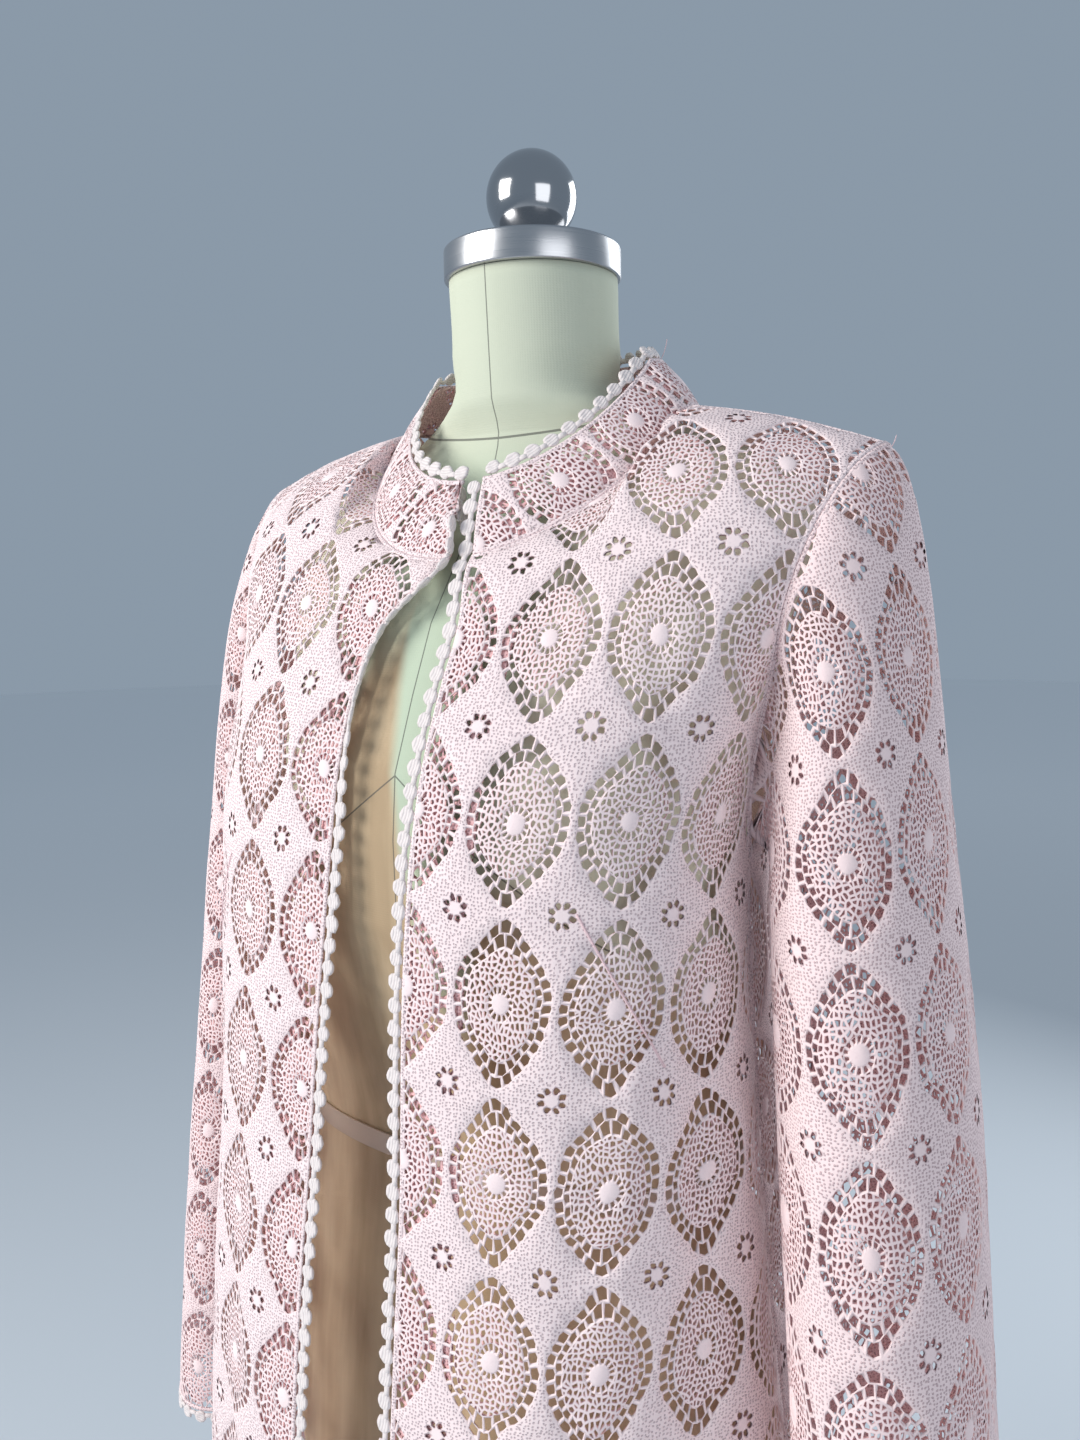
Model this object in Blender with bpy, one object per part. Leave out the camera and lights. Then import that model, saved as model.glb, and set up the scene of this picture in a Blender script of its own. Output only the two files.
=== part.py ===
"""Open-work crochet jacket, worn open, on a limbless dress form with a pole and a round base."""

import math

import bmesh
import bpy
import numpy as np

# Heights are in metres above the floor. The wearer faces -Y, and the wearer's left is +X.

# Cloth
WALL = 0.0018
COLLAR_WALL = 0.0022
SEAM_GAP = 0.0003
SEAM_SHARE = 0.7
COLLAR_SEAM_SHARE = 1.2

# The jacket's body, by height: half widths to the wearer's left and right, and how far
# the front and the back stand from the axis of the neck.
# height, left, right, front, back
BODY_ROWS = (
    (0.685, 0.182, 0.180, 0.178, 0.110),
    (0.785, 0.177, 0.178, 0.172, 0.104),
    (0.875, 0.169, 0.1745, 0.166, 0.097),
    (0.945, 0.160, 0.173, 0.159, 0.092),
    (1.025, 0.152, 0.171, 0.150, 0.088),
    (1.085, 0.147, 0.170, 0.146, 0.086),
    (1.145, 0.143, 0.169, 0.142, 0.085),
    (1.185, 0.142, 0.168, 0.139, 0.087),
    (1.225, 0.147, 0.165, 0.133, 0.089),
    (1.260, 0.158, 0.166, 0.120, 0.087),
    (1.285, 0.169, 0.172, 0.108, 0.083),
)
FRONT_SQUARENESS_LEFT = 2.7
FRONT_SQUARENESS_RIGHT = 3.2
BACK_SQUARENESS = 2.4

# Where the two front edges hang, by height: distance from the middle.
# height, left edge, right edge
FRONT_EDGE_ROWS = (
    (0.685, 0.0170, -0.0540),
    (0.865, 0.0155, -0.0500),
    (0.995, 0.0150, -0.0470),
    (1.055, 0.0140, -0.0440),
    (1.120, 0.0140, -0.0390),
    (1.175, 0.0165, -0.0340),
    (1.225, 0.0210, -0.0310),
    (1.260, 0.0225, -0.0300),
    (1.285, 0.0235, -0.0250),
    (1.308, 0.0215, -0.0090),
    (1.322, 0.0186, 0.0054),
)

# Where the armhole seam lies in front and at the back, by height.
# height, y of the front seam, y of the back seam
ARMHOLE_ROWS = (
    (1.185, -0.026, -0.026),
    (1.205, -0.031, -0.002),
    (1.235, -0.035, 0.020),
    (1.260, -0.042, 0.034),
    (1.285, -0.050, 0.040),
)
UNDERARM_Z = 1.185
CHEST_Z = 1.285
HEM_Z = 0.685

# Neckline, shoulder seam and collar
NECK_CENTRE_Y = 0.006
NECK_HALF_WIDTH = 0.094
NECK_FRONT = 0.094
NECK_BACK = 0.072
NECKLINE_FRONT_Z = 1.322
NECKLINE_SIDE_Z = 1.400
NECKLINE_BACK_Z = 1.404
SHOULDER_TIP = (0.197, 0.002, 1.373)
SHOULDER_ROUND = 0.003
NECK_SHARE = 0.42
COLLAR_TOP_HALF_WIDTH = 0.071
COLLAR_TOP_CENTRE_Y = 0.003
COLLAR_TOP_FRONT = 0.072
COLLAR_TOP_BACK = 0.062
COLLAR_TOP_FRONT_Z = 1.362
COLLAR_TOP_SIDE_Z = 1.426
COLLAR_TOP_BACK_Z = 1.436

# How steeply the cloth meets its top edge, at the middle, beside the neck and at the
# shoulder tip, and how far it leans out at the tip and in round the neck.
TOP_RISE_FRONT = (0.75, 0.15, 0.20)
TOP_RISE_BACK = (2.20, 0.45, 0.25)
TIP_OUTWARD = 0.30
NECK_INWARD = 0.35

# The collar closes a little to the wearer's left of the middle.
LEFT_END_BASE_X = 0.0186
RIGHT_END_BASE_X = 0.0054
LEFT_END_TOP_X = 0.0126
RIGHT_END_TOP_X = -0.0006

# The sleeves, by height: the middle of each section and its half sizes.
# height, x, y, half size in x, half size in y
SLEEVE_ROWS_LEFT = (
    (0.750, 0.2430, -0.074, 0.043, 0.064),
    (0.805, 0.2380, -0.065, 0.043, 0.065),
    (0.865, 0.2320, -0.055, 0.044, 0.066),
    (0.925, 0.2250, -0.044, 0.044, 0.067),
    (0.985, 0.2170, -0.032, 0.0445, 0.068),
    (1.045, 0.2090, -0.020, 0.045, 0.069),
    (1.105, 0.2010, -0.010, 0.044, 0.069),
    (1.155, 0.1945, -0.003, 0.042, 0.069),
)
SLEEVE_ROWS_RIGHT = (
    (0.750, -0.2330, -0.026, 0.042, 0.064),
    (0.805, -0.2310, -0.021, 0.042, 0.065),
    (0.865, -0.2285, -0.016, 0.042, 0.066),
    (0.925, -0.2255, -0.011, 0.042, 0.067),
    (0.985, -0.2225, -0.006, 0.041, 0.067),
    (1.045, -0.2190, 0.000, 0.041, 0.067),
    (1.105, -0.2170, 0.007, 0.040, 0.067),
    (1.155, -0.2140, 0.013, 0.040, 0.067),
)
CUFF_Z = 0.750
CAP_Z = 1.155

# How the sleeve leaves its seam, at the underarm and at the shoulder tip
HEAD_OUT = (0.55, 0.75)
HEAD_DOWN = (0.80, 0.60)
HEAD_STRENGTH = (0.90, 0.42)
HEAD_ALONG = 0.30
CAP_STRENGTH = 1.1
UNDERARM_EASE = 0.0022

# Soft upright folds of the body: place round the half panel from the front edge or the
# middle of the back, height of the middle, reach along and up, and depth.
# panel, place, height, reach along, reach up, depth
FOLDS = (
    ("front_left", 0.30, 0.72, 0.10, 0.30, 0.006),
    ("front_left", 0.62, 0.80, 0.11, 0.26, -0.006),
    ("front_left", 0.88, 0.95, 0.10, 0.26, 0.006),
    ("front_right", 0.34, 0.80, 0.11, 0.26, -0.005),
    ("front_right", 0.66, 0.74, 0.11, 0.30, 0.006),
    ("front_right", 0.92, 0.98, 0.10, 0.22, 0.004),
    ("back_left", 0.16, 0.76, 0.09, 0.28, 0.006),
    ("back_left", 0.46, 0.84, 0.10, 0.24, -0.006),
    ("back_left", 0.76, 0.74, 0.10, 0.30, 0.006),
    ("back_right", 0.22, 0.82, 0.10, 0.26, -0.006),
    ("back_right", 0.52, 0.74, 0.10, 0.30, 0.006),
    ("back_right", 0.82, 0.90, 0.10, 0.24, -0.004),
)

# Lace: the largest gap of each repeat is cut through.
REPEAT_ACROSS = 0.0525
REPEAT_UP = 0.0845
GAP_HALF_WIDTH = 0.0032
GAP_HALF_HEIGHT = 0.0042
GAP_ROOM = 1.5

# Scalloped edging of small round discs on a cord
EDGING_PITCH = 0.0116
DISC_HALF_WIDTH = 0.0042
LINK_HALF_WIDTH = 0.0016
EDGING_THICKNESS = 0.0022
RIGHT_EDGE_CURL = math.radians(50)
COLLAR_END_CURL = math.radians(80)

# The dress form, by height: half width, how far front and back stand from the axis, and
# the squareness of the section.
# height, half width, front, back, squareness
FORM_ROWS = (
    (0.765, 0.154, 0.124, 0.090, 2.3),
    (0.800, 0.159, 0.126, 0.093, 2.3),
    (0.860, 0.154, 0.122, 0.086, 2.3),
    (0.930, 0.142, 0.113, 0.071, 2.5),
    (1.010, 0.132, 0.105, 0.056, 2.8),
    (1.080, 0.131, 0.119, 0.058, 2.6),
    (1.140, 0.133, 0.131, 0.068, 2.4),
    (1.185, 0.134, 0.132, 0.075, 2.3),
    (1.218, 0.137, 0.129, 0.078, 2.3),
    (1.255, 0.145, 0.114, 0.076, 2.2),
    (1.290, 0.154, 0.098, 0.071, 2.1),
    (1.325, 0.165, 0.073, 0.064, 2.0),
    (1.353, 0.163, 0.052, 0.058, 1.8),
    (1.372, 0.138, 0.041, 0.055, 1.6),
    (1.390, 0.0915, 0.036, 0.055, 1.5),
    (1.407, 0.053, 0.042, 0.051, 2.0),
    (1.435, 0.048, 0.044, 0.050, 2.0),
    (1.474, 0.0475, 0.0465, 0.048, 2.0),
)
FORM_SIDES = 24

# Hardware of the dress form
CAP_RADIUS = 0.049
CAP_BOTTOM_Z = 1.4743
CAP_TOP_Z = 1.4905
CAP_LOWER_BEVEL = 0.001
CAP_UPPER_BEVEL = 0.0015
BALL_RADIUS = 0.025
BALL_Z = 1.5185
BALL_NECK_RADIUS = 0.0125
BALL_FOOT_RADIUS = 0.0156
BALL_TOP_ANGLE = 0.12
TAPE_Z = 1.006
TAPE_WIDTH = 0.012
TAPE_THICKNESS = 0.0010
POLE_RADIUS = 0.016
BASE_RADIUS = 0.165
BASE_EDGE = 0.010
BASE_SHOULDER_RADIUS = 0.099
BASE_SHOULDER = 0.018
BASE_CROWN = 0.026
BASE_NOSE_RADIUS = 0.030
SMALL_GAP = 0.0003
CAP_SIDES = 32
BALL_SIDES = 20
BALL_RINGS = 9
POLE_SIDES = 24
BASE_SIDES = 40

# How finely the cloth walls are divided
FRONT_COLUMNS = (0.0, 0.084, 0.168, 0.252, 0.336, 0.42, 0.565, 0.71, 0.855, 1.0)
BODY_ROW_COUNT = 15
SIDE_ROW_COUNT = 3
YOKE_ROW_COUNT = 4
SLEEVE_CAP_ROWS = 6
SLEEVE_ROW_COUNT = 12
COLLAR_ROW_COUNT = 2
COLLAR_NORMAL_WEIGHT = 4
DENSE = 160
CHEST_STEP = 0.012
PULL_STEP = 0.02
SHARP_ANGLE = math.radians(40)

COLOURS = {
    "lace": (0.80, 0.66, 0.67, 1.0),
    "edging": (0.86, 0.80, 0.76, 1.0),
    "form": (0.62, 0.60, 0.46, 1.0),
    "tape": (0.66, 0.54, 0.44, 1.0),
    "steel": (0.55, 0.55, 0.56, 1.0),
    "polished": (0.75, 0.75, 0.77, 1.0),
    "base": (0.30, 0.30, 0.31, 1.0),
}


def smooth_value(heights, values, z):
    """A smooth curve through the values of one table column."""
    heights = np.asarray(heights, float)
    values = np.asarray(values, float)
    z = np.clip(z, heights[0], heights[-1])
    steps = np.diff(heights)
    slopes = np.diff(values) / steps
    tangents = np.empty_like(values)
    tangents[0] = slopes[0]
    tangents[-1] = slopes[-1]
    weight = steps[1:] / (steps[1:] + steps[:-1])
    tangents[1:-1] = slopes[:-1] * weight + slopes[1:] * (1 - weight)
    k = np.clip(np.searchsorted(heights, z, side="right") - 1, 0, len(steps) - 1)
    u = (z - heights[k]) / steps[k]
    return (
        values[k] * (2 * u**3 - 3 * u**2 + 1)
        + tangents[k] * steps[k] * (u**3 - 2 * u**2 + u)
        + values[k + 1] * (3 * u**2 - 2 * u**3)
        + tangents[k + 1] * steps[k] * (u**3 - u**2)
    )


def column(table, index, z):
    return smooth_value([row[0] for row in table], [row[index] for row in table], z)


def hermite(start, start_pull, end, end_pull, t):
    t = np.asarray(t)[..., None]
    return (
        start * (2 * t**3 - 3 * t**2 + 1)
        + start_pull * (t**3 - 2 * t**2 + t)
        + end * (3 * t**2 - 2 * t**3)
        + end_pull * (t**3 - t**2)
    )


def along(points, shares):
    """The points at these shares of a dense line's length."""
    lengths = np.linalg.norm(np.diff(points, axis=0), axis=1)
    total = np.concatenate([[0.0], np.cumsum(lengths)])
    wanted = np.asarray(shares) * total[-1]
    return np.stack([np.interp(wanted, total, points[:, k]) for k in range(3)], axis=1)


def body_arc(z, side, back):
    """A dense quarter of the body's section, from its middle to its side seam or armhole."""
    width = column(BODY_ROWS, 1 if side > 0 else 2, z)
    front_y = -column(BODY_ROWS, 3, z)
    back_y = column(BODY_ROWS, 4, z)
    centre = (front_y + back_y) / 2
    depth = (back_y - front_y) / 2
    if back:
        power = 2 / BACK_SQUARENESS
    else:
        power = 2 / (FRONT_SQUARENESS_LEFT if side > 0 else FRONT_SQUARENESS_RIGHT)
    turn = np.linspace(0, math.pi / 2, DENSE)
    x = width * np.sin(turn) ** power
    y = centre + (1 if back else -1) * depth * np.cos(turn) ** power
    if z > UNDERARM_Z:
        seam = column(ARMHOLE_ROWS, 2 if back else 1, z)
        seam = max(seam, centre) if back else min(seam, centre)
        keep = y >= seam if back else y <= seam
        x_seam = np.interp(seam, y[::-1] if back else y, x[::-1] if back else x)
        x = np.append(x[keep], x_seam)
        y = np.append(y[keep], seam)
    if not back:
        edge = abs(column(FRONT_EDGE_ROWS, 1 if side > 0 else 2, z))
        y_edge = np.interp(edge, x, y)
        keep = x > edge
        x = np.append(edge, x[keep])
        y = np.append(y_edge, y[keep])
    return np.stack([side * x, y, np.full_like(x, z)], axis=1)


def neck_ring(angle, half_width, centre_y, front, back, front_z, side_z, back_z):
    """A point of a neckline, at an angle from the middle of the front."""
    x = half_width * np.sin(angle)
    forward = np.cos(angle)
    y = centre_y - np.where(forward > 0, front, back) * forward
    z = np.where(forward > 0, side_z + (front_z - side_z) * forward, side_z - (back_z - side_z) * forward)
    return np.stack([x, y, z], axis=-1)


def neckline(angle):
    return neck_ring(
        angle, NECK_HALF_WIDTH, NECK_CENTRE_Y, NECK_FRONT, NECK_BACK,
        NECKLINE_FRONT_Z, NECKLINE_SIDE_Z, NECKLINE_BACK_Z,
    )


def collar_top(angle):
    return neck_ring(
        angle, COLLAR_TOP_HALF_WIDTH, COLLAR_TOP_CENTRE_Y, COLLAR_TOP_FRONT, COLLAR_TOP_BACK,
        COLLAR_TOP_FRONT_Z, COLLAR_TOP_SIDE_Z, COLLAR_TOP_BACK_Z,
    )


def top_edge(share, side, back):
    """The neckline, then the shoulder seam, of one panel, and the pull of its upright lines there."""
    tip = np.array(SHOULDER_TIP)
    neck_side = neckline(np.array(math.pi / 2))
    if share <= NECK_SHARE:
        part = share / NECK_SHARE
        if back:
            angle = math.pi * (1 - part / 2)
        else:
            end_x = LEFT_END_BASE_X if side > 0 else -RIGHT_END_BASE_X
            meeting = math.asin(end_x / NECK_HALF_WIDTH)
            angle = meeting + (math.pi / 2 - meeting) * part
        point = neckline(np.array(angle))
    else:
        part = (share - NECK_SHARE) / (1 - NECK_SHARE)
        point = neck_side + (tip - neck_side) * part
        point[2] += SHOULDER_ROUND * math.sin(math.pi * part)
    neck_part = min(share / NECK_SHARE, 1.0)
    shoulder_part = max(0.0, (share - NECK_SHARE) / (1 - NECK_SHARE))
    outward = TIP_OUTWARD * shoulder_part**2 - NECK_INWARD * math.sin(math.pi * neck_part)
    middle_rise, side_rise, tip_rise = TOP_RISE_BACK if back else TOP_RISE_FRONT
    rise = middle_rise + (side_rise - middle_rise) * neck_part + (tip_rise - side_rise) * shoulder_part
    pull = np.array([outward, -1.0 if back else 1.0, rise])
    pull /= np.linalg.norm(pull)
    return point * np.array([side, 1, 1]), pull * np.array([side, 1, 1])


def panel_surface(side, back, shares, rises):
    """Points of a front or a back half: shares run from its middle to its side, rises from hem to top.

    A rise of 0 is the hem, 1 the underarm, 2 the chest and 3 the neckline and shoulder seam."""
    shares = np.asarray(shares, float)
    rows = []
    chest = along(body_arc(CHEST_Z, side, back), shares)
    below = along(body_arc(CHEST_Z - CHEST_STEP, side, back), shares)
    for rise in rises:
        if rise <= 1:
            z = HEM_Z + (UNDERARM_Z - HEM_Z) * rise
            rows.append(along(body_arc(z, side, back), shares))
            continue
        if rise <= 2:
            z = UNDERARM_Z + (CHEST_Z - UNDERARM_Z) * (rise - 1)
            rows.append(along(body_arc(z, side, back), shares))
            continue
        row = []
        for index, share in enumerate(shares):
            end, end_pull = top_edge(share, side, back)
            start = chest[index]
            start_pull = start - below[index]
            start_pull /= np.linalg.norm(start_pull)
            span = np.linalg.norm(end - start)
            row.append(hermite(start, start_pull * span, end, end_pull * span, rise - 2))
        rows.append(np.array(row))
    return np.array(rows)


def fold_depth(panel, shares, heights):
    depth = np.zeros(heights.shape)
    for name, place, height, reach_along, reach_up, amount in FOLDS:
        if name != panel:
            continue
        across = (shares[None, :] - place) / reach_along
        up = (heights - height) / reach_up
        depth += amount * np.exp(-across**2) * np.clip(1 - up**2, 0, 1) ** 2
    return depth


def body_rises():
    return np.concatenate([
        np.linspace(0, 1, BODY_ROW_COUNT + 1),
        np.linspace(1, 2, SIDE_ROW_COUNT + 1)[1:],
        np.linspace(2, 3, YOKE_ROW_COUNT + 1)[1:],
    ])


def sleeve_ring(side, z, turns):
    table = SLEEVE_ROWS_LEFT if side > 0 else SLEEVE_ROWS_RIGHT
    x, y, half_x, half_y = (column(table, k, z) for k in range(1, 5))
    angle = 2 * math.pi * turns
    return np.stack(
        [x + side * half_x * np.cos(angle), y - half_y * np.sin(angle), np.full_like(turns, z)],
        axis=1,
    )


def sleeve_surface(side, seam, turns):
    """A sleeve half hung from its stretch of the armhole seam, down to the cuff.

    Turns of 0 to 0.5 run down the front from the shoulder tip, and 0.5 to 1 up the back."""
    end = sleeve_ring(side, CAP_Z, turns)
    after = sleeve_ring(side, CAP_Z - PULL_STEP, turns)
    angle = 2 * math.pi * turns
    upper = 0.5 + 0.5 * np.cos(angle)
    out, drop, strength = (
        low + (high - low) * upper for low, high in (HEAD_OUT, HEAD_DOWN, HEAD_STRENGTH)
    )
    pull = np.stack([side * out, -HEAD_ALONG * np.sin(angle), -drop], axis=1)
    pull *= strength[:, None] / np.linalg.norm(pull, axis=1, keepdims=True)
    down = after - end
    down *= CAP_STRENGTH / np.linalg.norm(down, axis=1, keepdims=True)
    span = np.linalg.norm(end - seam, axis=1, keepdims=True)
    rows = []
    for rise in np.linspace(0, 1, SLEEVE_CAP_ROWS + 1):
        rows.append(hermite(seam, pull * span, end, down * span, np.full(len(turns), rise)))
    for z in np.linspace(CAP_Z, CUFF_Z, SLEEVE_ROW_COUNT + 1)[1:]:
        rows.append(sleeve_ring(side, z, turns))
    return np.array(rows)


def seam_turns(seam, back):
    """Turns of the points of an armhole seam that runs from the underarm to the shoulder tip."""
    lengths = np.linalg.norm(np.diff(seam, axis=0), axis=1)
    share = np.concatenate([[0.0], np.cumsum(lengths)]) / lengths.sum()
    return 0.5 + 0.5 * share if back else 0.5 - 0.5 * share


def natural_normals(points, sign):
    across = np.gradient(points, axis=1)
    up = np.gradient(points, axis=0)
    normals = np.cross(across, up) * sign
    return normals / np.linalg.norm(normals, axis=2, keepdims=True)


def share_normals(grids, signs):
    """Normals of every grid, the same wherever two grids meet."""
    sums = {}
    own = {}
    for name, points in grids.items():
        own[name] = natural_normals(points, signs[name])
        for place, normal in zip(points.reshape(-1, 3), own[name].reshape(-1, 3)):
            key = tuple(np.round(place, 6))
            weight = COLLAR_NORMAL_WEIGHT if name == "collar" else 1
            sums[key] = sums.get(key, np.zeros(3)) + normal * weight
    for name, points in grids.items():
        flat = [sums[tuple(np.round(place, 6))] for place in points.reshape(-1, 3)]
        flat = np.array(flat)
        flat /= np.linalg.norm(flat, axis=1, keepdims=True)
        own[name] = flat.reshape(points.shape)
    return own


def pull_back(points, normals, edge_line, inner_line, distance):
    """How one edge line of a grid moves back from its seam, square to the seam and to its normals."""
    edge = points[edge_line]
    tangent = np.gradient(edge, axis=0)
    outward = np.cross(tangent, normals[edge_line])
    outward /= np.linalg.norm(outward, axis=1, keepdims=True)
    facing = np.sign(np.sum(outward * (edge - points[inner_line]), axis=1, keepdims=True))
    return -outward * facing * distance


def with_seam_gaps(name, points, normals):
    """The grid with all four of its edge lines moved back from their seams."""
    result = points.copy()
    everything = slice(None)
    distance = SEAM_GAP * (COLLAR_SEAM_SHARE if name == "collar" else SEAM_SHARE)
    for edge_line, inner_line in (
        ((0, everything), (1, everything)),
        ((-1, everything), (-2, everything)),
        ((everything, 0), (everything, 1)),
        ((everything, -1), (everything, -2)),
    ):
        result[edge_line] += pull_back(points, normals, edge_line, inner_line, distance)
    if name.startswith("sleeve"):
        diagonal = points[1, 1] - points[0, 0]
        result[0, 0] += diagonal * UNDERARM_EASE / np.linalg.norm(diagonal)
    return result


def cloth_grids():
    """Middle points of every cloth piece, and the sign that turns its normals outwards."""
    shares = np.array(FRONT_COLUMNS)
    rises = body_rises()
    armhole = slice(BODY_ROW_COUNT, None)
    neck_columns = int(np.argmin(np.abs(shares - NECK_SHARE))) + 1
    grids = {}
    signs = {}
    halves = {}
    for side, label in ((1, "left"), (-1, "right")):
        for back in (False, True):
            halves[label, back] = panel_surface(side, back, shares, rises)
        grids["front_" + label] = halves[label, False]
        signs["front_" + label] = side
        for back, word in ((False, "front"), (True, "back")):
            seam = halves[label, back][armhole, -1]
            turns = seam_turns(seam, back)
            name = "sleeve_" + label + "_" + word
            grids[name] = sleeve_surface(side, seam, turns)
            signs[name] = side if back else -side
    right_part = halves["right", True][:, ::-1]
    left_part = halves["left", True][:, 1:]
    grids["back"] = np.concatenate([right_part, left_part], axis=1)
    signs["back"] = -1
    ring = np.concatenate([
        halves["right", False][-1, :neck_columns],
        halves["right", True][-1, :neck_columns][::-1][1:],
        halves["left", True][-1, :neck_columns][1:],
        halves["left", False][-1, :neck_columns][::-1][1:],
    ])
    angles = np.arctan2(ring[:, 0], -(ring[:, 1] - NECK_CENTRE_Y) * NECK_HALF_WIDTH / NECK_FRONT)
    behind = ring[:, 1] > NECK_CENTRE_Y
    angles[behind] = np.arctan2(
        ring[behind, 0], -(ring[behind, 1] - NECK_CENTRE_Y) * NECK_HALF_WIDTH / NECK_BACK
    )
    top = collar_top(angles)
    top[0, 0] = RIGHT_END_TOP_X
    top[-1, 0] = LEFT_END_TOP_X
    shares_up = np.linspace(0, 1, COLLAR_ROW_COUNT + 1)[:, None, None]
    grids["collar"] = ring[None] * (1 - shares_up) + top[None] * shares_up
    signs["collar"] = -1
    return grids, signs


def folded(grids, normals):
    """The grids with the soft upright folds pushed in and out of the body panels."""
    shares = np.array(FRONT_COLUMNS)
    result = dict(grids)
    for label in ("left", "right"):
        name = "front_" + label
        depth = fold_depth(name, shares, grids[name][:, :, 2])
        depth[:, -1] = 0
        result[name] = grids[name] + normals[name] * depth[..., None]
    back = grids["back"]
    middle = len(shares) - 1
    right_depth = fold_depth("back_right", shares, back[:, middle::-1, 2])[:, ::-1]
    left_depth = fold_depth("back_left", shares, back[:, middle:, 2])
    depth = np.concatenate([right_depth, left_depth[:, 1:]], axis=1)
    depth[:, 0] = 0
    depth[:, -1] = 0
    result["back"] = back + normals["back"] * depth[..., None]
    return result


def make_material(name, metallic=0.0, roughness=0.8):
    material = bpy.data.materials.new(name)
    material.use_nodes = True
    shader = material.node_tree.nodes["Principled BSDF"]
    shader.inputs["Base Color"].default_value = COLOURS[name]
    shader.inputs["Metallic"].default_value = metallic
    shader.inputs["Roughness"].default_value = roughness
    return material


def clear_scene():
    for thing in list(bpy.data.objects):
        bpy.data.objects.remove(thing, do_unlink=True)


def finish_object(name, bm, material):
    mesh = bpy.data.meshes.new(name)
    bmesh.ops.recalc_face_normals(bm, faces=bm.faces[:])
    bm.to_mesh(mesh)
    bm.free()
    mesh.materials.append(material)
    mesh.shade_smooth()
    mesh.set_sharp_from_angle(angle=SHARP_ANGLE)
    thing = bpy.data.objects.new(name, mesh)
    bpy.context.scene.collection.objects.link(thing)
    return thing


def wall(name, points, normals, thickness, material, gaps=None):
    """A cloth wall round a grid of middle points, with a four-cornered gap in each cell that gaps names."""
    bm = bmesh.new()
    rows, columns = points.shape[:2]
    layers = []
    for sign in (1, -1):
        layer = points + normals * (sign * thickness / 2)
        layers.append([[bm.verts.new(p) for p in row] for row in layer])
    for i in range(rows - 1):
        for j in range(columns - 1):
            corners = [(i, j), (i, j + 1), (i + 1, j + 1), (i + 1, j)]
            faces = [[layer[a][b] for a, b in corners] for layer in layers]
            if gaps is None or not gaps[i][j]:
                for face in faces:
                    bm.faces.new(face)
                continue
            cell = np.array([points[a, b] for a, b in corners])
            lean = np.mean([normals[a, b] for a, b in corners], axis=0)
            lean /= np.linalg.norm(lean)
            centre = cell.mean(axis=0)
            across = (cell[1] + cell[2] - cell[0] - cell[3]) / 2
            up = (cell[2] + cell[3] - cell[0] - cell[1]) / 2
            across *= GAP_HALF_WIDTH / np.linalg.norm(across)
            up *= GAP_HALF_HEIGHT / np.linalg.norm(up)
            rim = [centre - up, centre + across, centre + up, centre - across]
            rings = []
            for sign in (1, -1):
                rings.append([bm.verts.new(p + lean * (sign * thickness / 2)) for p in rim])
            for face, ring in zip(faces, rings):
                for k in range(4):
                    bm.faces.new((face[k], face[(k + 1) % 4], ring[k]))
                    bm.faces.new((face[(k + 1) % 4], ring[(k + 1) % 4], ring[k]))
            for k in range(4):
                following = (k + 1) % 4
                bm.faces.new((rings[0][k], rings[0][following], rings[1][following], rings[1][k]))
    border = (
        [(0, j) for j in range(columns)]
        + [(i, columns - 1) for i in range(1, rows)]
        + [(rows - 1, j) for j in range(columns - 2, -1, -1)]
        + [(i, 0) for i in range(rows - 2, 0, -1)]
    )
    for (a, b), (c, d) in zip(border, border[1:] + border[:1]):
        bm.faces.new((layers[0][a][b], layers[0][c][d], layers[1][c][d], layers[1][a][b]))
    return finish_object(name, bm, material)


def lace_gaps(points):
    """Cells that hold the largest gap of their repeat of the lace."""
    rows, columns = points.shape[0] - 1, points.shape[1] - 1
    heights = np.linalg.norm(np.diff(points, axis=0), axis=2)
    widths = np.linalg.norm(np.diff(points, axis=1), axis=2)
    rise = np.cumsum(heights.mean(axis=1)) - heights.mean(axis=1) / 2
    gaps = [[False] * columns for _ in range(rows)]
    taken = set()
    for i in range(1, rows - 1):
        place = np.cumsum(widths[i]) - widths[i] / 2
        for j in range(1, columns - 1):
            low = min(heights[i][j], heights[i][j + 1])
            narrow = min(widths[i][j], widths[i + 1][j])
            if low < GAP_ROOM * 2 * GAP_HALF_HEIGHT or narrow < GAP_ROOM * 2 * GAP_HALF_WIDTH:
                continue
            repeat = (math.floor(rise[i] / REPEAT_UP), math.floor(place[j] / REPEAT_ACROSS))
            if repeat in taken:
                continue
            taken.add(repeat)
            gaps[i][j] = True
    return gaps


def edge_frames(line, outward, normals, curl, closed):
    """Places along an edge, one at each link and one at each disc, with outward and normal directions."""
    if closed:
        line = np.concatenate([line, line[:1]])
        curl = np.append(curl, curl[0])
        outward = np.concatenate([outward, outward[:1]])
        normals = np.concatenate([normals, normals[:1]])
    lengths = np.linalg.norm(np.diff(line, axis=0), axis=1)
    total = np.concatenate([[0.0], np.cumsum(lengths)])
    discs = round(total[-1] / EDGING_PITCH)
    pitch = total[-1] / discs
    stations = []
    for k in range(discs):
        stations.append((k * pitch, LINK_HALF_WIDTH))
        stations.append(((k + 0.5) * pitch, DISC_HALF_WIDTH))
    if not closed:
        stations.append((total[-1], LINK_HALF_WIDTH))
    frames = []
    for place, half_width in stations:
        values = [
            np.array([np.interp(place, total, part[:, k]) for k in range(3)])
            for part in (line, outward, normals)
        ]
        normal = values[2] / np.linalg.norm(values[2])
        out = values[1] - normal * np.dot(values[1], normal)
        out /= np.linalg.norm(out)
        turn = np.interp(place, total, curl)
        start = values[0] + out * (SEAM_GAP + EDGING_THICKNESS / 2 * math.sin(turn))
        out, normal = (
            out * math.cos(turn) + normal * math.sin(turn),
            normal * math.cos(turn) - out * math.sin(turn),
        )
        centre = start + out * DISC_HALF_WIDTH
        frames.append((centre, out, normal, half_width))
    return frames


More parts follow.
